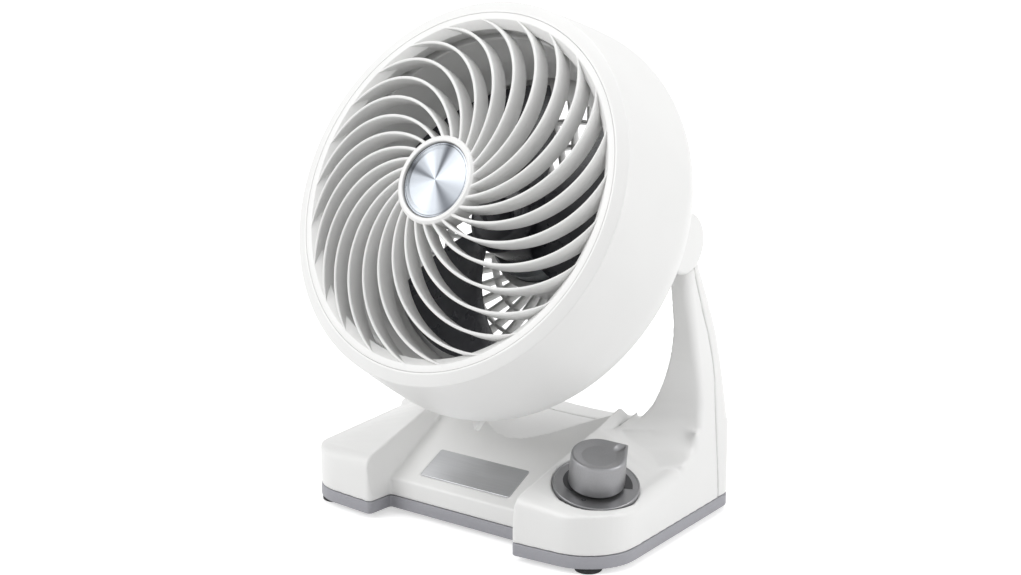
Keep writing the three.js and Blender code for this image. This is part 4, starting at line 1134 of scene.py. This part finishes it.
def lobe(inset):
    """The right lobe, lofted from front to back: a ruled top with a rounded outer edge."""
    foot = 0 if inset else housing_foot()
    band = housing_foot() - SEAT_GAP

    def inner(z):
        return RECESS_HALF + LOBE_DRAFT * (z - band) + inset

    nose = LOBE_NOSE * (1 - np.cos(np.radians(np.linspace(0, 90, 10))))
    backs = [*nose, *np.linspace(LOBE_NOSE, LOBE_END - BASE_FRONT, 14)[1:]]
    rings = []
    for back in backs:
        y = BASE_FRONT + inset + back
        outer = side_x(y) - inset
        drop = LOBE_NOSE * (1 - math.sqrt(1 - (1 - min(back / LOBE_NOSE, 1)) ** 2)) + inset
        flat = min(y, LOBE_END) - BASE_FRONT
        inner_z = LOBE_INNER_Z + LOBE_INNER_SLOPE * flat - drop
        outer_z = LOBE_OUTER_Z + LOBE_OUTER_SLOPE * flat - drop
        round_r = max(LOBE_ROUND - inset, 1)
        top = [
            (outer - round_r * (1 - math.cos(a)), outer_z - round_r * (1 - math.sin(a)))
            for a in np.radians(np.linspace(0, 90, 10))
        ]
        line = [(inner(0), foot), (outer, foot)] + top + [(inner(inner_z), inner_z)]
        rings.append([(x, y + FRONT_SWEEP * (x - RECESS_HALF), z) for x, z in line])
    return loft(rings)


def panel(inset):
    """The sloping panel between the lobes."""
    front = RECESS_FRONT + inset
    rise = inset * math.hypot(1, PANEL_SLOPE)
    low = 0 if inset else housing_foot()
    height = [RECESS_Z - rise + PANEL_SLOPE * (y - RECESS_FRONT) for y in (front, LOBE_END)]
    side = [(front, low), (front, height[0]), (LOBE_END, height[1]), (LOBE_END, low)]
    return prism_x(side, -RECESS_HALF - 8, RECESS_HALF + 8)


def rear_block(inset):
    """Back of the base, between and under the arms."""
    low = 0 if inset else housing_foot()
    y0, y1 = LOBE_END - 1 + inset, BASE_REAR - inset
    halves = [side_x(y) - inset for y in (y0, y1)]
    corner = REAR_CORNER_R - inset
    right, left = [[(s * halves[0], y0, 0), (s * halves[1], y1, corner)] for s in (1, -1)]
    plan = rounded(right + left[::-1], 14)
    top = REAR_TOP - inset
    height = [(y0, low), (y0, top)]
    height += [
        (y1 - REAR_LEAN - REAR_ROUND * (1 - math.cos(a)), top - REAR_ROUND * (1 - math.sin(a)))
        for a in np.radians(np.linspace(90, 0, 10))
    ]
    height.append((y1, low))
    return met(prism(plan, low, top + 1), prism_x(height, -BASE_HALF, BASE_HALF))


CHANNEL_LINE = smooth_line(CHANNEL, 8)
CREST_LINE = np.vstack((smooth_line(CREST, 8), CREST_SIDE))
ARM_LINE = smooth_line(ARM, 5)


def channel_x(z):
    """Half width of the channel at a height."""
    return float(np.interp(z, CHANNEL_LINE[:, 1], CHANNEL_LINE[:, 0]))


def arm(inset):
    """The right arm, lofted by height: its outer face is the base's side wall carried up."""
    rings = []
    for z, front_in, front_out, rear in ARM_LINE:
        if inset and z > ARM_HOLLOW_TO:
            continue
        most = (rear - front_out) / 2 - inset - 0.5
        root = ARM_ROOT if z < REAR_TOP else channel_x(z) - 5
        corners = [
            (root, front_in + inset, 0),
            (side_x(front_out) - inset, front_out + inset, min(ARM_CORNER, most)),
            (side_x(rear) - inset, rear - inset, min(float(np.interp(z, *ARM_REAR_CORNER)), most)),
            (root, rear - inset, 0),
        ]
        rings.append([(x, y, z) for x, y in rounded(corners, 8)])
    foot = 0 if inset else housing_foot() + 2
    return loft([[(x, y, foot) for x, y, _ in rings[0]]] + rings)


def drawn_down(line, grow):
    """A line moved square to itself by grow."""
    run = np.gradient(line, axis=0)
    run[0] = (1, 0)
    run /= np.linalg.norm(run, axis=1)[:, None]
    return line + grow * np.column_stack((run[:, 1], -run[:, 0]))


def channel(grow):
    """Room for the head: a U-shaped channel, from the crest to the back."""
    right = drawn_down(CHANNEL_LINE, grow)
    section = [(-x, z) for x, z in right[:0:-1]] + [tuple(p) for p in right]
    solid = loft([[(x, y, z) for x, z in section] for y in (-BASE_REAR - 50, BASE_REAR + 50)])
    crest = drawn_down(CREST_LINE, grow)
    plan = [(-x, y) for x, y in crest[:0:-1]] + [tuple(p) for p in crest]
    plan += [(CREST_LINE[-1][0], BASE_REAR + 20), (-CREST_LINE[-1][0], BASE_REAR + 20)]
    return met(solid, prism(plan, 0, CHANNEL_LINE[-1][1]))


def base_block(inset):
    """Lobes, panel, back and arms as one solid, drawn in by inset."""
    block = rear_block(inset)
    joined(block, panel(inset), *both_sides(lambda: lobe(inset)), *both_sides(lambda: arm(inset)))
    return cut(block, channel(inset))


def pivot_rod(radius, x0, x1):
    """A round bar about the pivot's line, on the right side of the base."""
    return moved(rod(radius, x0, x1, 96), Matrix.Translation(PIVOT) @ ALONG_X)


def arm_eye():
    """Eye at the top of an arm, on a thin neck that runs down into it."""
    neck = [(3.2, -10), (4, -18), (7, -30), (13, -34), (15, -2)]
    plate = prism_x([(PIVOT.y + y, PIVOT.z + z) for y, z in neck], EYE_AT, EYE_END)
    return joined(pivot_rod(EYE_R, EYE_AT, EYE_END), plate)


PIN_BORE_R = 5.4


def base_body():
    """The whole white moulding before it is split into the front housing and the rear cover."""
    outside = met(base_block(0), prism(base_plan(0), housing_foot(), PIVOT.z))
    cut(outside, *both_sides(lambda: pivot_rod(EAR_R + EAR_CLEAR, EYE_AT - 4, EAR_END + 4)))
    hollow = met(base_block(WALL), prism(base_plan(WALL), 0, PIVOT.z))
    cut(outside, hollow)
    joined(outside, *both_sides(arm_eye))
    return cut(outside, *both_sides(lambda: pivot_rod(PIN_BORE_R, EYE_AT - 2, EYE_END + 2)))


def behind_seam(gap):
    """Everything behind the seam."""
    line = [(y + gap, z) for y, z in smooth_line(SEAM, 6)]
    line += [(BASE_REAR + 60, SEAM[-1][1]), (BASE_REAR + 60, 0)]
    return prism_x(line, -BASE_HALF - 1, BASE_HALF + 1)


DIAL = standing_frame(DIAL_SEAT, DIAL_AXIS)
DIAL_T = 3.4
DIAL_TOP = 1.2  # how far the dial's rim stands over the lobe
LABEL_T = 0.8
LABEL_SET = 0.4
LABEL_X = -2
LABEL_Y = -26
LABEL_CORNER = 1.3
LABEL_Z = RECESS_Z + PANEL_SLOPE * (LABEL_Y - RECESS_FRONT)
LABEL = Matrix.Translation((LABEL_X, LABEL_Y, LABEL_Z)) @ Matrix.Rotation(math.atan(PANEL_SLOPE), 4, "X")


def label_outline(grow):
    """Outline of the label plate, grown by a clearance."""
    size = Millimetres(ControlSizes)
    w, h = size.label_width / 2 + grow, size.label_height / 2 + grow
    return rounded_block(-w, w, -h, h, LABEL_CORNER, 8)


INSERT_CLEAR = 0.4  # around the dial, the label plate and the power inlet
SEAM_GAP = 0.45
VENTS = 9
VENT_FIRST = 8
VENT_PITCH = 7
VENT_W = 2.4
VENT_RANGE = (18, 32)  # lower and upper end of the vents


def white_shells():
    """The front housing and the rear cover, parted at the seam, with their edges eased."""
    size = Millimetres(BaseSizes)
    control = Millimetres(ControlSizes)
    body = base_body()
    rear = body.copy()
    rear.data = body.data.copy()
    bpy.context.scene.collection.objects.link(rear)
    seat = moved(rod(control.dial_radius + INSERT_CLEAR, DIAL_TOP - DIAL_T - SEAT_GAP, 12, 128), DIAL)
    well = moved(rod(control.dial_radius - 4, -12, 0), DIAL)
    label = moved(prism(label_outline(INSERT_CLEAR), -LABEL_SET - SEAT_GAP, 5), LABEL)
    front = cut(body, behind_seam(0), seat, well, label)
    met(rear, behind_seam(SEAM_GAP))
    inlet = shifted(moved(rod(JACK_R + INSERT_CLEAR, -8, 8), STAND_Y), JACK_X, BASE_REAR, JACK_Z)
    places = [VENT_FIRST + i * VENT_PITCH for i in range(VENTS)]
    vents = [box(x, x + VENT_W, BASE_REAR - WALL - 2, BASE_REAR + 2, *VENT_RANGE) for x in places]
    cut(rear, inlet, *vents)
    grain = size.grain
    rounds = round((size.edge / grain) ** 2 * 3)
    share = 0.45
    softer = (in_valley, round((VALLEY_SOFT / grain) ** 2))
    return eased(front, grain, rounds, share, softer), eased(rear, grain, rounds, share)


VALLEY = ((89, 43, 54), (114, 51, 46))  # ends of the valley between a lobe's top and its arm
VALLEY_REACH = 12
VALLEY_SOFT = 11


def in_valley(points):
    """How much each point belongs to the valley where an arm rises from its lobe, from 0 to 1."""
    start, end = np.array(VALLEY, float)
    run = end - start
    folded = np.column_stack((np.abs(points[:, 0]), points[:, 1:]))
    along = np.clip((folded - start) @ run / (run @ run), 0, 1)
    away = np.linalg.norm(folded - start - along[:, None] * run, axis=1)
    return np.clip(1.6 * (1 - away / VALLEY_REACH), 0, 1)


JACK_X = -52
JACK_Z = 24
JACK_R = 5.6
BASE_SCREWS = ((-74, -38), (74, -50), (-68, 62), (68, 62))
FEET = {"left": {"front": (-97, -46), "rear": (-86, 79)}, "right": {"front": (97, -46), "rear": (86, 79)}}
FOOT_R = 8


def base_plate():
    """The grey tray that shows as a band around the foot of the base."""
    size = Millimetres(BaseSizes)
    low, top = size.foot_height, size.foot_height + size.band_height
    ease = 0.7
    levels = eased_edge(ease, low, -1)[::-1] + eased_edge(ease, top, 1)
    tray = loft([[(x, y, z) for x, y in base_plan(inset)] for inset, z in levels])
    cut(tray, prism(base_plan(WALL), low + WALL, top + 1))
    joined(tray, *[shifted(rod(6, low + 1, top, 32), x, y, 0) for x, y in BASE_SCREWS])
    tools = [shifted(rod(SCREW_R, 0, 30, 24), x, y, 0) for x, y in BASE_SCREWS]
    tools += [shifted(rod(SCREW_HEAD_R, 0, low + 2.6, 32), x, y, 0) for x, y in BASE_SCREWS]
    for feet in FEET.values():
        tools += [shifted(rod(FOOT_R + SEAT_GAP, 0, low + 1), x, y, 0) for x, y in feet.values()]
    return cut(tray, *tools)


def foot(x, y):
    """One rubber foot, with a soft lower edge and a shallow cup."""
    size = Millimetres(BaseSizes)
    top = size.foot_height + 1 - SEAT_GAP
    cup = [(0, 0.5, 0), (FOOT_R - 3.5, 0.5, 0.6), (FOOT_R - 2.6, 0, 0.5)]
    line = cup + [(FOOT_R, 0, 1.2), (FOOT_R, top, 0.2), (0, top, 0)]
    return shifted(turned(rounded(line), 64), x, y, 0)


# ---------------------------------------------------------------- the controls


def label_plate():
    """The bare plate on the sloping panel, with a turned-down edge."""
    levels = [(0, -LABEL_SET)] + eased_edge(0.3, LABEL_T - LABEL_SET, 1)
    return loft([[(x, y, z) for x, y in label_outline(-inset)] for inset, z in levels])


DISH_Z = 0.4  # face of the dial at the knob
DIAL_EDGE = 0.9  # width of the dial's bright rim
DIAL_BORE_R = 4.4


def dial_dish_z(size, radius):
    """Height of the dial's dished face at a radius."""
    inner, outer = size.knob_radius, size.dial_radius - DIAL_EDGE
    return DISH_Z + (DIAL_TOP - DISH_Z) * float(np.clip((radius - inner) / (outer - inner), 0, 1))


def dial_plate():
    """The dished plate around the knob, with a bright rim."""
    size = Millimetres(ControlSizes)
    outline = [
        (DIAL_BORE_R, DIAL_TOP - DIAL_T, 0),
        (size.dial_radius, DIAL_TOP - DIAL_T, 0.2),
        (size.dial_radius, DIAL_TOP, 0.5),
        (size.dial_radius - DIAL_EDGE, DIAL_TOP, 0.2),
        (size.dial_radius - DIAL_EDGE - 0.3, DIAL_TOP - 0.25, 0.2),
        (size.knob_radius, DISH_Z, 1.2),
        (DIAL_BORE_R, DISH_Z, 0),
    ]
    return turned(rounded(outline), closed=True)


INK = 0.06  # thickness of the print


def dial_marks():
    """Print on the dial: a small ring for off, and a crescent that widens as the fan speeds up."""
    size = Millimetres(ControlSizes)

    def on_dish(angle, radius, lift):
        return (radius * math.cos(angle), radius * math.sin(angle), dial_dish_z(size, radius) + lift)

    parts = []
    off_turn = math.radians(OFF_TURN)
    centre = np.array((math.cos(off_turn), math.sin(off_turn))) * OFF_AT
    rings = []
    for a in np.linspace(0, 2 * math.pi, 33)[:-1]:
        way = np.array((math.cos(a), math.sin(a)))
        ring = []
        for reach, lift in ((1.25, 0), (1.25, INK), (0.75, INK), (0.75, 0)):
            x, y = centre + way * reach
            ring.append((x, y, dial_dish_z(size, math.hypot(x, y)) + lift))
        rings.append(ring)
    points = [p for ring in rings for p in ring]
    faces = []
    for i in range(len(rings)):
        j = (i + 1) % len(rings)
        faces += [[4 * i + k, 4 * j + k, 4 * j + (k + 1) % 4, 4 * i + (k + 1) % 4] for k in range(4)]
    parts.append(outward(object_from("off_ring", points, faces)))
    rings = []
    for t in np.linspace(0, 1, 61):
        turn = CRESCENT[0][0] + (CRESCENT[-1][0] - CRESCENT[0][0]) * t
        outer = float(np.interp(-turn, [-a for a, _ in CRESCENT], [r for _, r in CRESCENT]))
        middle = (CRESCENT_INSIDE + outer) / 2
        inside = CRESCENT_INSIDE
        line = ((inside, 0), (inside, INK), (middle, INK), (outer, INK), (outer, 0), (middle, 0))
        rings.append([on_dish(math.radians(turn), radius, lift) for radius, lift in line])
    parts.append(loft(rings))
    return gathered(parts)


OFF_TURN = -77  # direction of the off mark about the dial's axis, in degrees from its X
OFF_AT = 17.6
CRESCENT_INSIDE = 14.5
# Outer edge of the crescent, as (direction, radius).
CRESCENT = ((-112, 16.4), (-128, 18), (-150, 19.2), (-240, 20.2), (-332, 20.9))
POINTER = 71  # where the knob's pointer stands
KNOB_REACH = 20.8
KNOB_LOW = 2.1  # underside of the knob, over the dial's seat
KNOB_TOP = ((0.95, 0.2), (0.9, 0), (0.84, 0.25), (0.6, 1.5), (0.05, 2.2))  # its rounded, dished top
SHAFT_R = 3.3
SHAFT_DEPTH = 12
DIMPLE_R = 3.4
DIMPLE_STRETCH = 1.5
DIMPLE_AT = 13.4
DIMPLE_OVER = 1.3  # height of the dimple's middle over the knob's edge
KNOB_FINE = (0.28, 9)  # mesh size and rounds of easing


def knob():
    """The knob: a dished drop-shaped grip whose pointed corner fades into its round foot."""
    size = Millimetres(ControlSizes)
    radius, height = size.knob_radius, size.knob_height

    def outline(share, grown, z):
        """A circle drawn out to a point: its reach, then all of it moved in by a share."""
        point = math.acos(radius / (radius + (KNOB_REACH - radius) * grown + 0.001))
        ring = []
        for a in np.linspace(-math.pi, math.pi, 145)[:-1]:
            reach = radius / math.cos(point - abs(a)) if abs(a) < point else radius
            ring.append((share * reach * math.cos(a), share * reach * math.sin(a), z))
        return ring

    start, end = KNOB_LOW + 3, height - 1.2
    levels = [(0.985, 0, KNOB_LOW), (1, 0, KNOB_LOW + 0.4), (1, 0.02, start)]
    for t in np.linspace(0, 1, 9)[1:]:
        levels.append((1 - 0.02 * t, 0.02 + 0.98 * t**0.8, start + (end - start) * t))
    levels += [(share, 1, height - fall) for share, fall in KNOB_TOP]
    body = loft([outline(*level) for level in levels])
    turns = np.linspace(0, math.pi, 25)
    ball = turned([(DIMPLE_R * math.sin(a), -DIMPLE_R * math.cos(a)) for a in turns], 48)
    longer = Matrix.Scale(DIMPLE_STRETCH, 4, Vector((1, 0, 0)))
    dimple = shifted(moved(ball, longer), DIMPLE_AT, 0, height + DIMPLE_OVER)
    cut(body, dimple, rod(SHAFT_R, 0, SHAFT_DEPTH, 48))
    eased(body, *KNOB_FINE)
    return moved(body, Matrix.Rotation(math.radians(POINTER), 4, "Z"))


# ---------------------------------------------------------------- operators


class BuildOperator:
    """What the operators share."""

    bl_options = {"REGISTER", "UNDO"}


class CIRC_OT_shroud(BuildOperator, bpy.types.Operator):
    """Build the shroud"""

    bl_idname = "circulator.shroud"
    bl_label = "Shroud"

    def execute(self, context):
        white = finish_for("white_plastic")
        piece(shroud(), "shroud_moulding", "head", white, HEAD, ["shroud"])
        return {"FINISHED"}


class CIRC_OT_grille(BuildOperator, bpy.types.Operator):
    """Build the spiral-vaned front grille and the disc in its hub"""

    bl_idname = "circulator.grille"
    bl_label = "Front grille and hub disc"

    def execute(self, context):
        white, disc = finish_for("white_plastic"), finish_for("brushed_metal")
        piece(front_grille(), "spiral_grille", "head", white, HEAD, ["front_grille"])
        piece(hub_disc(), "spun_hub_disc", "head", disc, HEAD, ["hub_badge"])
        return {"FINISHED"}


class CIRC_OT_duct(BuildOperator, bpy.types.Operator):
    """Build the duct and the rear housing"""

    bl_idname = "circulator.duct"
    bl_label = "Duct and rear housing"

    def execute(self, context):
        white = finish_for("white_plastic")
        piece(inner_duct(), "duct_ring", "head", white, HEAD, ["inner_duct"])
        piece(rear_housing(), "rear_grille_housing", "head", white, HEAD, ["rear_housing"])
        return {"FINISHED"}


class CIRC_OT_impeller(BuildOperator, bpy.types.Operator):
    """Build the impeller"""

    bl_idname = "circulator.impeller"
    bl_label = "Impeller"

    def execute(self, context):
        dark = finish_for("dark_plastic")
        piece(impeller(), "three_blade_impeller", "rotor", dark, HEAD, ["impeller"])
        return {"FINISHED"}


class CIRC_OT_base(BuildOperator, bpy.types.Operator):
    """Build the white shells of the base, its grey plate and its feet"""

    bl_idname = "circulator.base"
    bl_label = "Base"

    def execute(self, context):
        white = finish_for("white_plastic")
        front, rear = white_shells()
        piece(front, "base_front_shell", "base", white, replaces=["front_housing"], sharp=0)
        piece(rear, "base_rear_shell", "base", white, replaces=["rear_cover"], sharp=0)
        grey = finish_for("grey_plastic")
        piece(base_plate(), "grey_base_tray", "base", grey, replaces=["base_plate"])
        for side, feet in FEET.items():
            for end, (x, y) in feet.items():
                node = f"foot_{end}_{side}"
                piece(foot(x, y), f"rubber_{node}", "base", finish_for("rubber"), replaces=[node])
        return {"FINISHED"}


class CIRC_OT_controls(BuildOperator, bpy.types.Operator):
    """Build the knob, its dial with the marks, and the bare label plate"""

    bl_idname = "circulator.controls"
    bl_label = "Controls and label plate"

    def execute(self, context):
        silver = finish_for("satin_silver")
        piece(dial_plate(), "dished_dial", "base", silver, DIAL, ["dial_plate"])
        piece(dial_marks(), "dial_print", "base", finish_for("print"), DIAL)
        piece(knob(), "speed_knob", "knob", silver, DIAL, ["knob"], sharp=0)
        plate = finish_for("silver_plate")
        piece(label_plate(), "bare_label_plate", "base", plate, LABEL, ["label_plate"])
        return {"FINISHED"}


class CIRC_OT_fixings(BuildOperator, bpy.types.Operator):
    """Give the motor, shafts, pins, washers, screws, board and power inlet their finishes"""

    bl_idname = "circulator.fixings"
    bl_label = "Motor, shafts and fixings"

    def execute(self, context):
        for part in frame["record"]["subparts"]:
            node = frame["nodes"][part["node"]]
            node.material_slots[0].material = finish_for(part["material_slot"])
        return {"FINISHED"}


class CIRC_OT_stage(BuildOperator, bpy.types.Operator):
    """Build the white floor, the soft light and the camera"""

    bl_idname = "circulator.stage"
    bl_label = "Stage"

    def execute(self, context):
        build_stage()
        return {"FINISHED"}


# ---------------------------------------------------------------- stage

FLOOR_HALF = 6.0
FLOOR_GLOW = 0.55  # what the floor shows the camera beyond the light that falls on it
FLOOR_NEAR = 0.35  # from here outwards it shows more, up to plain white at FLOOR_FAR
FLOOR_FAR = 1.0
AIM = Vector((0.0, 0.0, 0.15))
# Soft lamps, as (name, place, side), in metres: front left, right and a little behind, and overhead.
LAMPS = (("key", (-0.9, -1.3, 1.3), 1.2), ("fill", (1.6, 0.5, 0.8), 1.0), ("top", (0.1, 0.2, 1.7), 1.4))


def seen_directly(tree):
    """One for the rays that the camera sends, straight or by way of a mirror, and nought for all others."""
    ways = add_node(tree, "ShaderNodeLightPath").outputs
    most = {"operation": "MAXIMUM"}
    either = add_node(tree, "ShaderNodeMath", most, {0: ways["Is Camera Ray"], 1: ways["Is Glossy Ray"]})
    rays = add_node(tree, "ShaderNodeMath", most, {0: either.outputs[0], 1: ways["Is Transmission Ray"]})
    return rays.outputs[0]


def build_stage():
    stage = settings(StageSettings)
    scene = bpy.context.scene
    half = FLOOR_HALF
    corners = [(-half, -half, 0), (half, -half, 0), (half, half, 0), (-half, half, 0)]
    floor = object_from("floor", corners, [[0, 1, 2, 3]])
    material, tree, shader = blank("matt_white_paper_floor", Roughness=0.9)
    shader.inputs["Base Color"].default_value = (*linear("#E6E6E6"), 1)
    shader.inputs["Emission Color"].default_value = (1, 1, 1, 1)
    place = add_node(tree, "ShaderNodeTexCoord")
    reach = add_node(tree, "ShaderNodeVectorMath", {"operation": "LENGTH"}, {0: place.outputs["Object"]})
    spread = {"From Min": FLOOR_NEAR, "From Max": FLOOR_FAR, "To Min": FLOOR_GLOW, "To Max": 1.0}
    even = add_node(tree, "ShaderNodeMapRange", spread, {"Value": reach.outputs["Value"]})
    shown = {0: even.outputs["Result"], 1: seen_directly(tree)}
    glow = add_node(tree, "ShaderNodeMath", {"operation": "MULTIPLY"}, shown)
    tree.links.new(glow.outputs[0], shader.inputs["Emission Strength"])
    floor.data.materials.append(material)

    world = bpy.data.worlds.new("white_studio")
    world.use_nodes = True
    scene.world = world
    tree = world.node_tree
    lit = tree.nodes["Background"]
    lit.inputs["Color"].default_value = (1, 1, 1, 1)
    lit.inputs["Strength"].default_value = stage.world_light
    white = add_node(tree, "ShaderNodeBackground", {"Color": (1, 1, 1, 1), "Strength": 1.0})
    ways = {0: seen_directly(tree), 1: lit.outputs[0], 2: white.outputs[0]}
    mixed = add_node(tree, "ShaderNodeMixShader", None, ways)
    tree.links.new(mixed.outputs[0], tree.nodes["World Output"].inputs["Surface"])

    for name, place, side in LAMPS:
        data = bpy.data.lights.new(name + "_softbox", "AREA")
        data.shape = "SQUARE"
        data.size = side
        data.energy = getattr(stage, name + "_power")
        lamp = bpy.data.objects.new(data.name, data)
        scene.collection.objects.link(lamp)
        lamp.location = place
        lamp.rotation_euler = (Vector(place) - AIM).to_track_quat("Z", "Y").to_euler()

    view = bpy.data.cameras.new("camera")
    view.lens = stage.lens
    view.sensor_width = 36
    view.clip_start = 0.05
    view.clip_end = 50
    camera = bpy.data.objects.new("camera", view)
    scene.collection.objects.link(camera)
    camera.location = stage.camera_place
    camera.rotation_euler = Vector(stage.camera_back).to_track_quat("Z", "Y").to_euler()
    scene.camera = camera
    scene.view_settings.view_transform = "Standard"


# ---------------------------------------------------------------- sidebar and registration

OPERATORS = (
    CIRC_OT_shroud,
    CIRC_OT_grille,
    CIRC_OT_duct,
    CIRC_OT_impeller,
    CIRC_OT_base,
    CIRC_OT_controls,
    CIRC_OT_fixings,
    CIRC_OT_stage,
)


class CIRC_PT_panel(bpy.types.Panel):
    """Lists the circulator's pieces and sizes"""

    bl_idname = "CIRC_PT_panel"
    bl_label = "Air circulator"
    bl_space_type = "VIEW_3D"
    bl_region_type = "UI"
    bl_category = "Air circulator"

    def draw(self, context):
        for operator in OPERATORS:
            self.layout.operator(operator.bl_idname)
        for group in GROUPS:
            column = self.layout.column(heading=group.__name__)
            for name in group.__annotations__:
                column.prop(settings(group), name)


def register():
    for kind in (*GROUPS, *OPERATORS, CIRC_PT_panel):
        bpy.utils.register_class(kind)
    for group in GROUPS:
        setattr(bpy.types.Scene, "circulator_" + group.__name__.lower(), PointerProperty(type=group))


def unregister():
    for group in GROUPS:
        delattr(bpy.types.Scene, "circulator_" + group.__name__.lower())
    for kind in (CIRC_PT_panel, *OPERATORS[::-1], *GROUPS[::-1]):
        bpy.utils.unregister_class(kind)


def main():
    register()
    for operator in OPERATORS:
        group, name = operator.bl_idname.split(".")
        getattr(getattr(bpy.ops, group), name)()


if __name__ == "__main__":
    main()
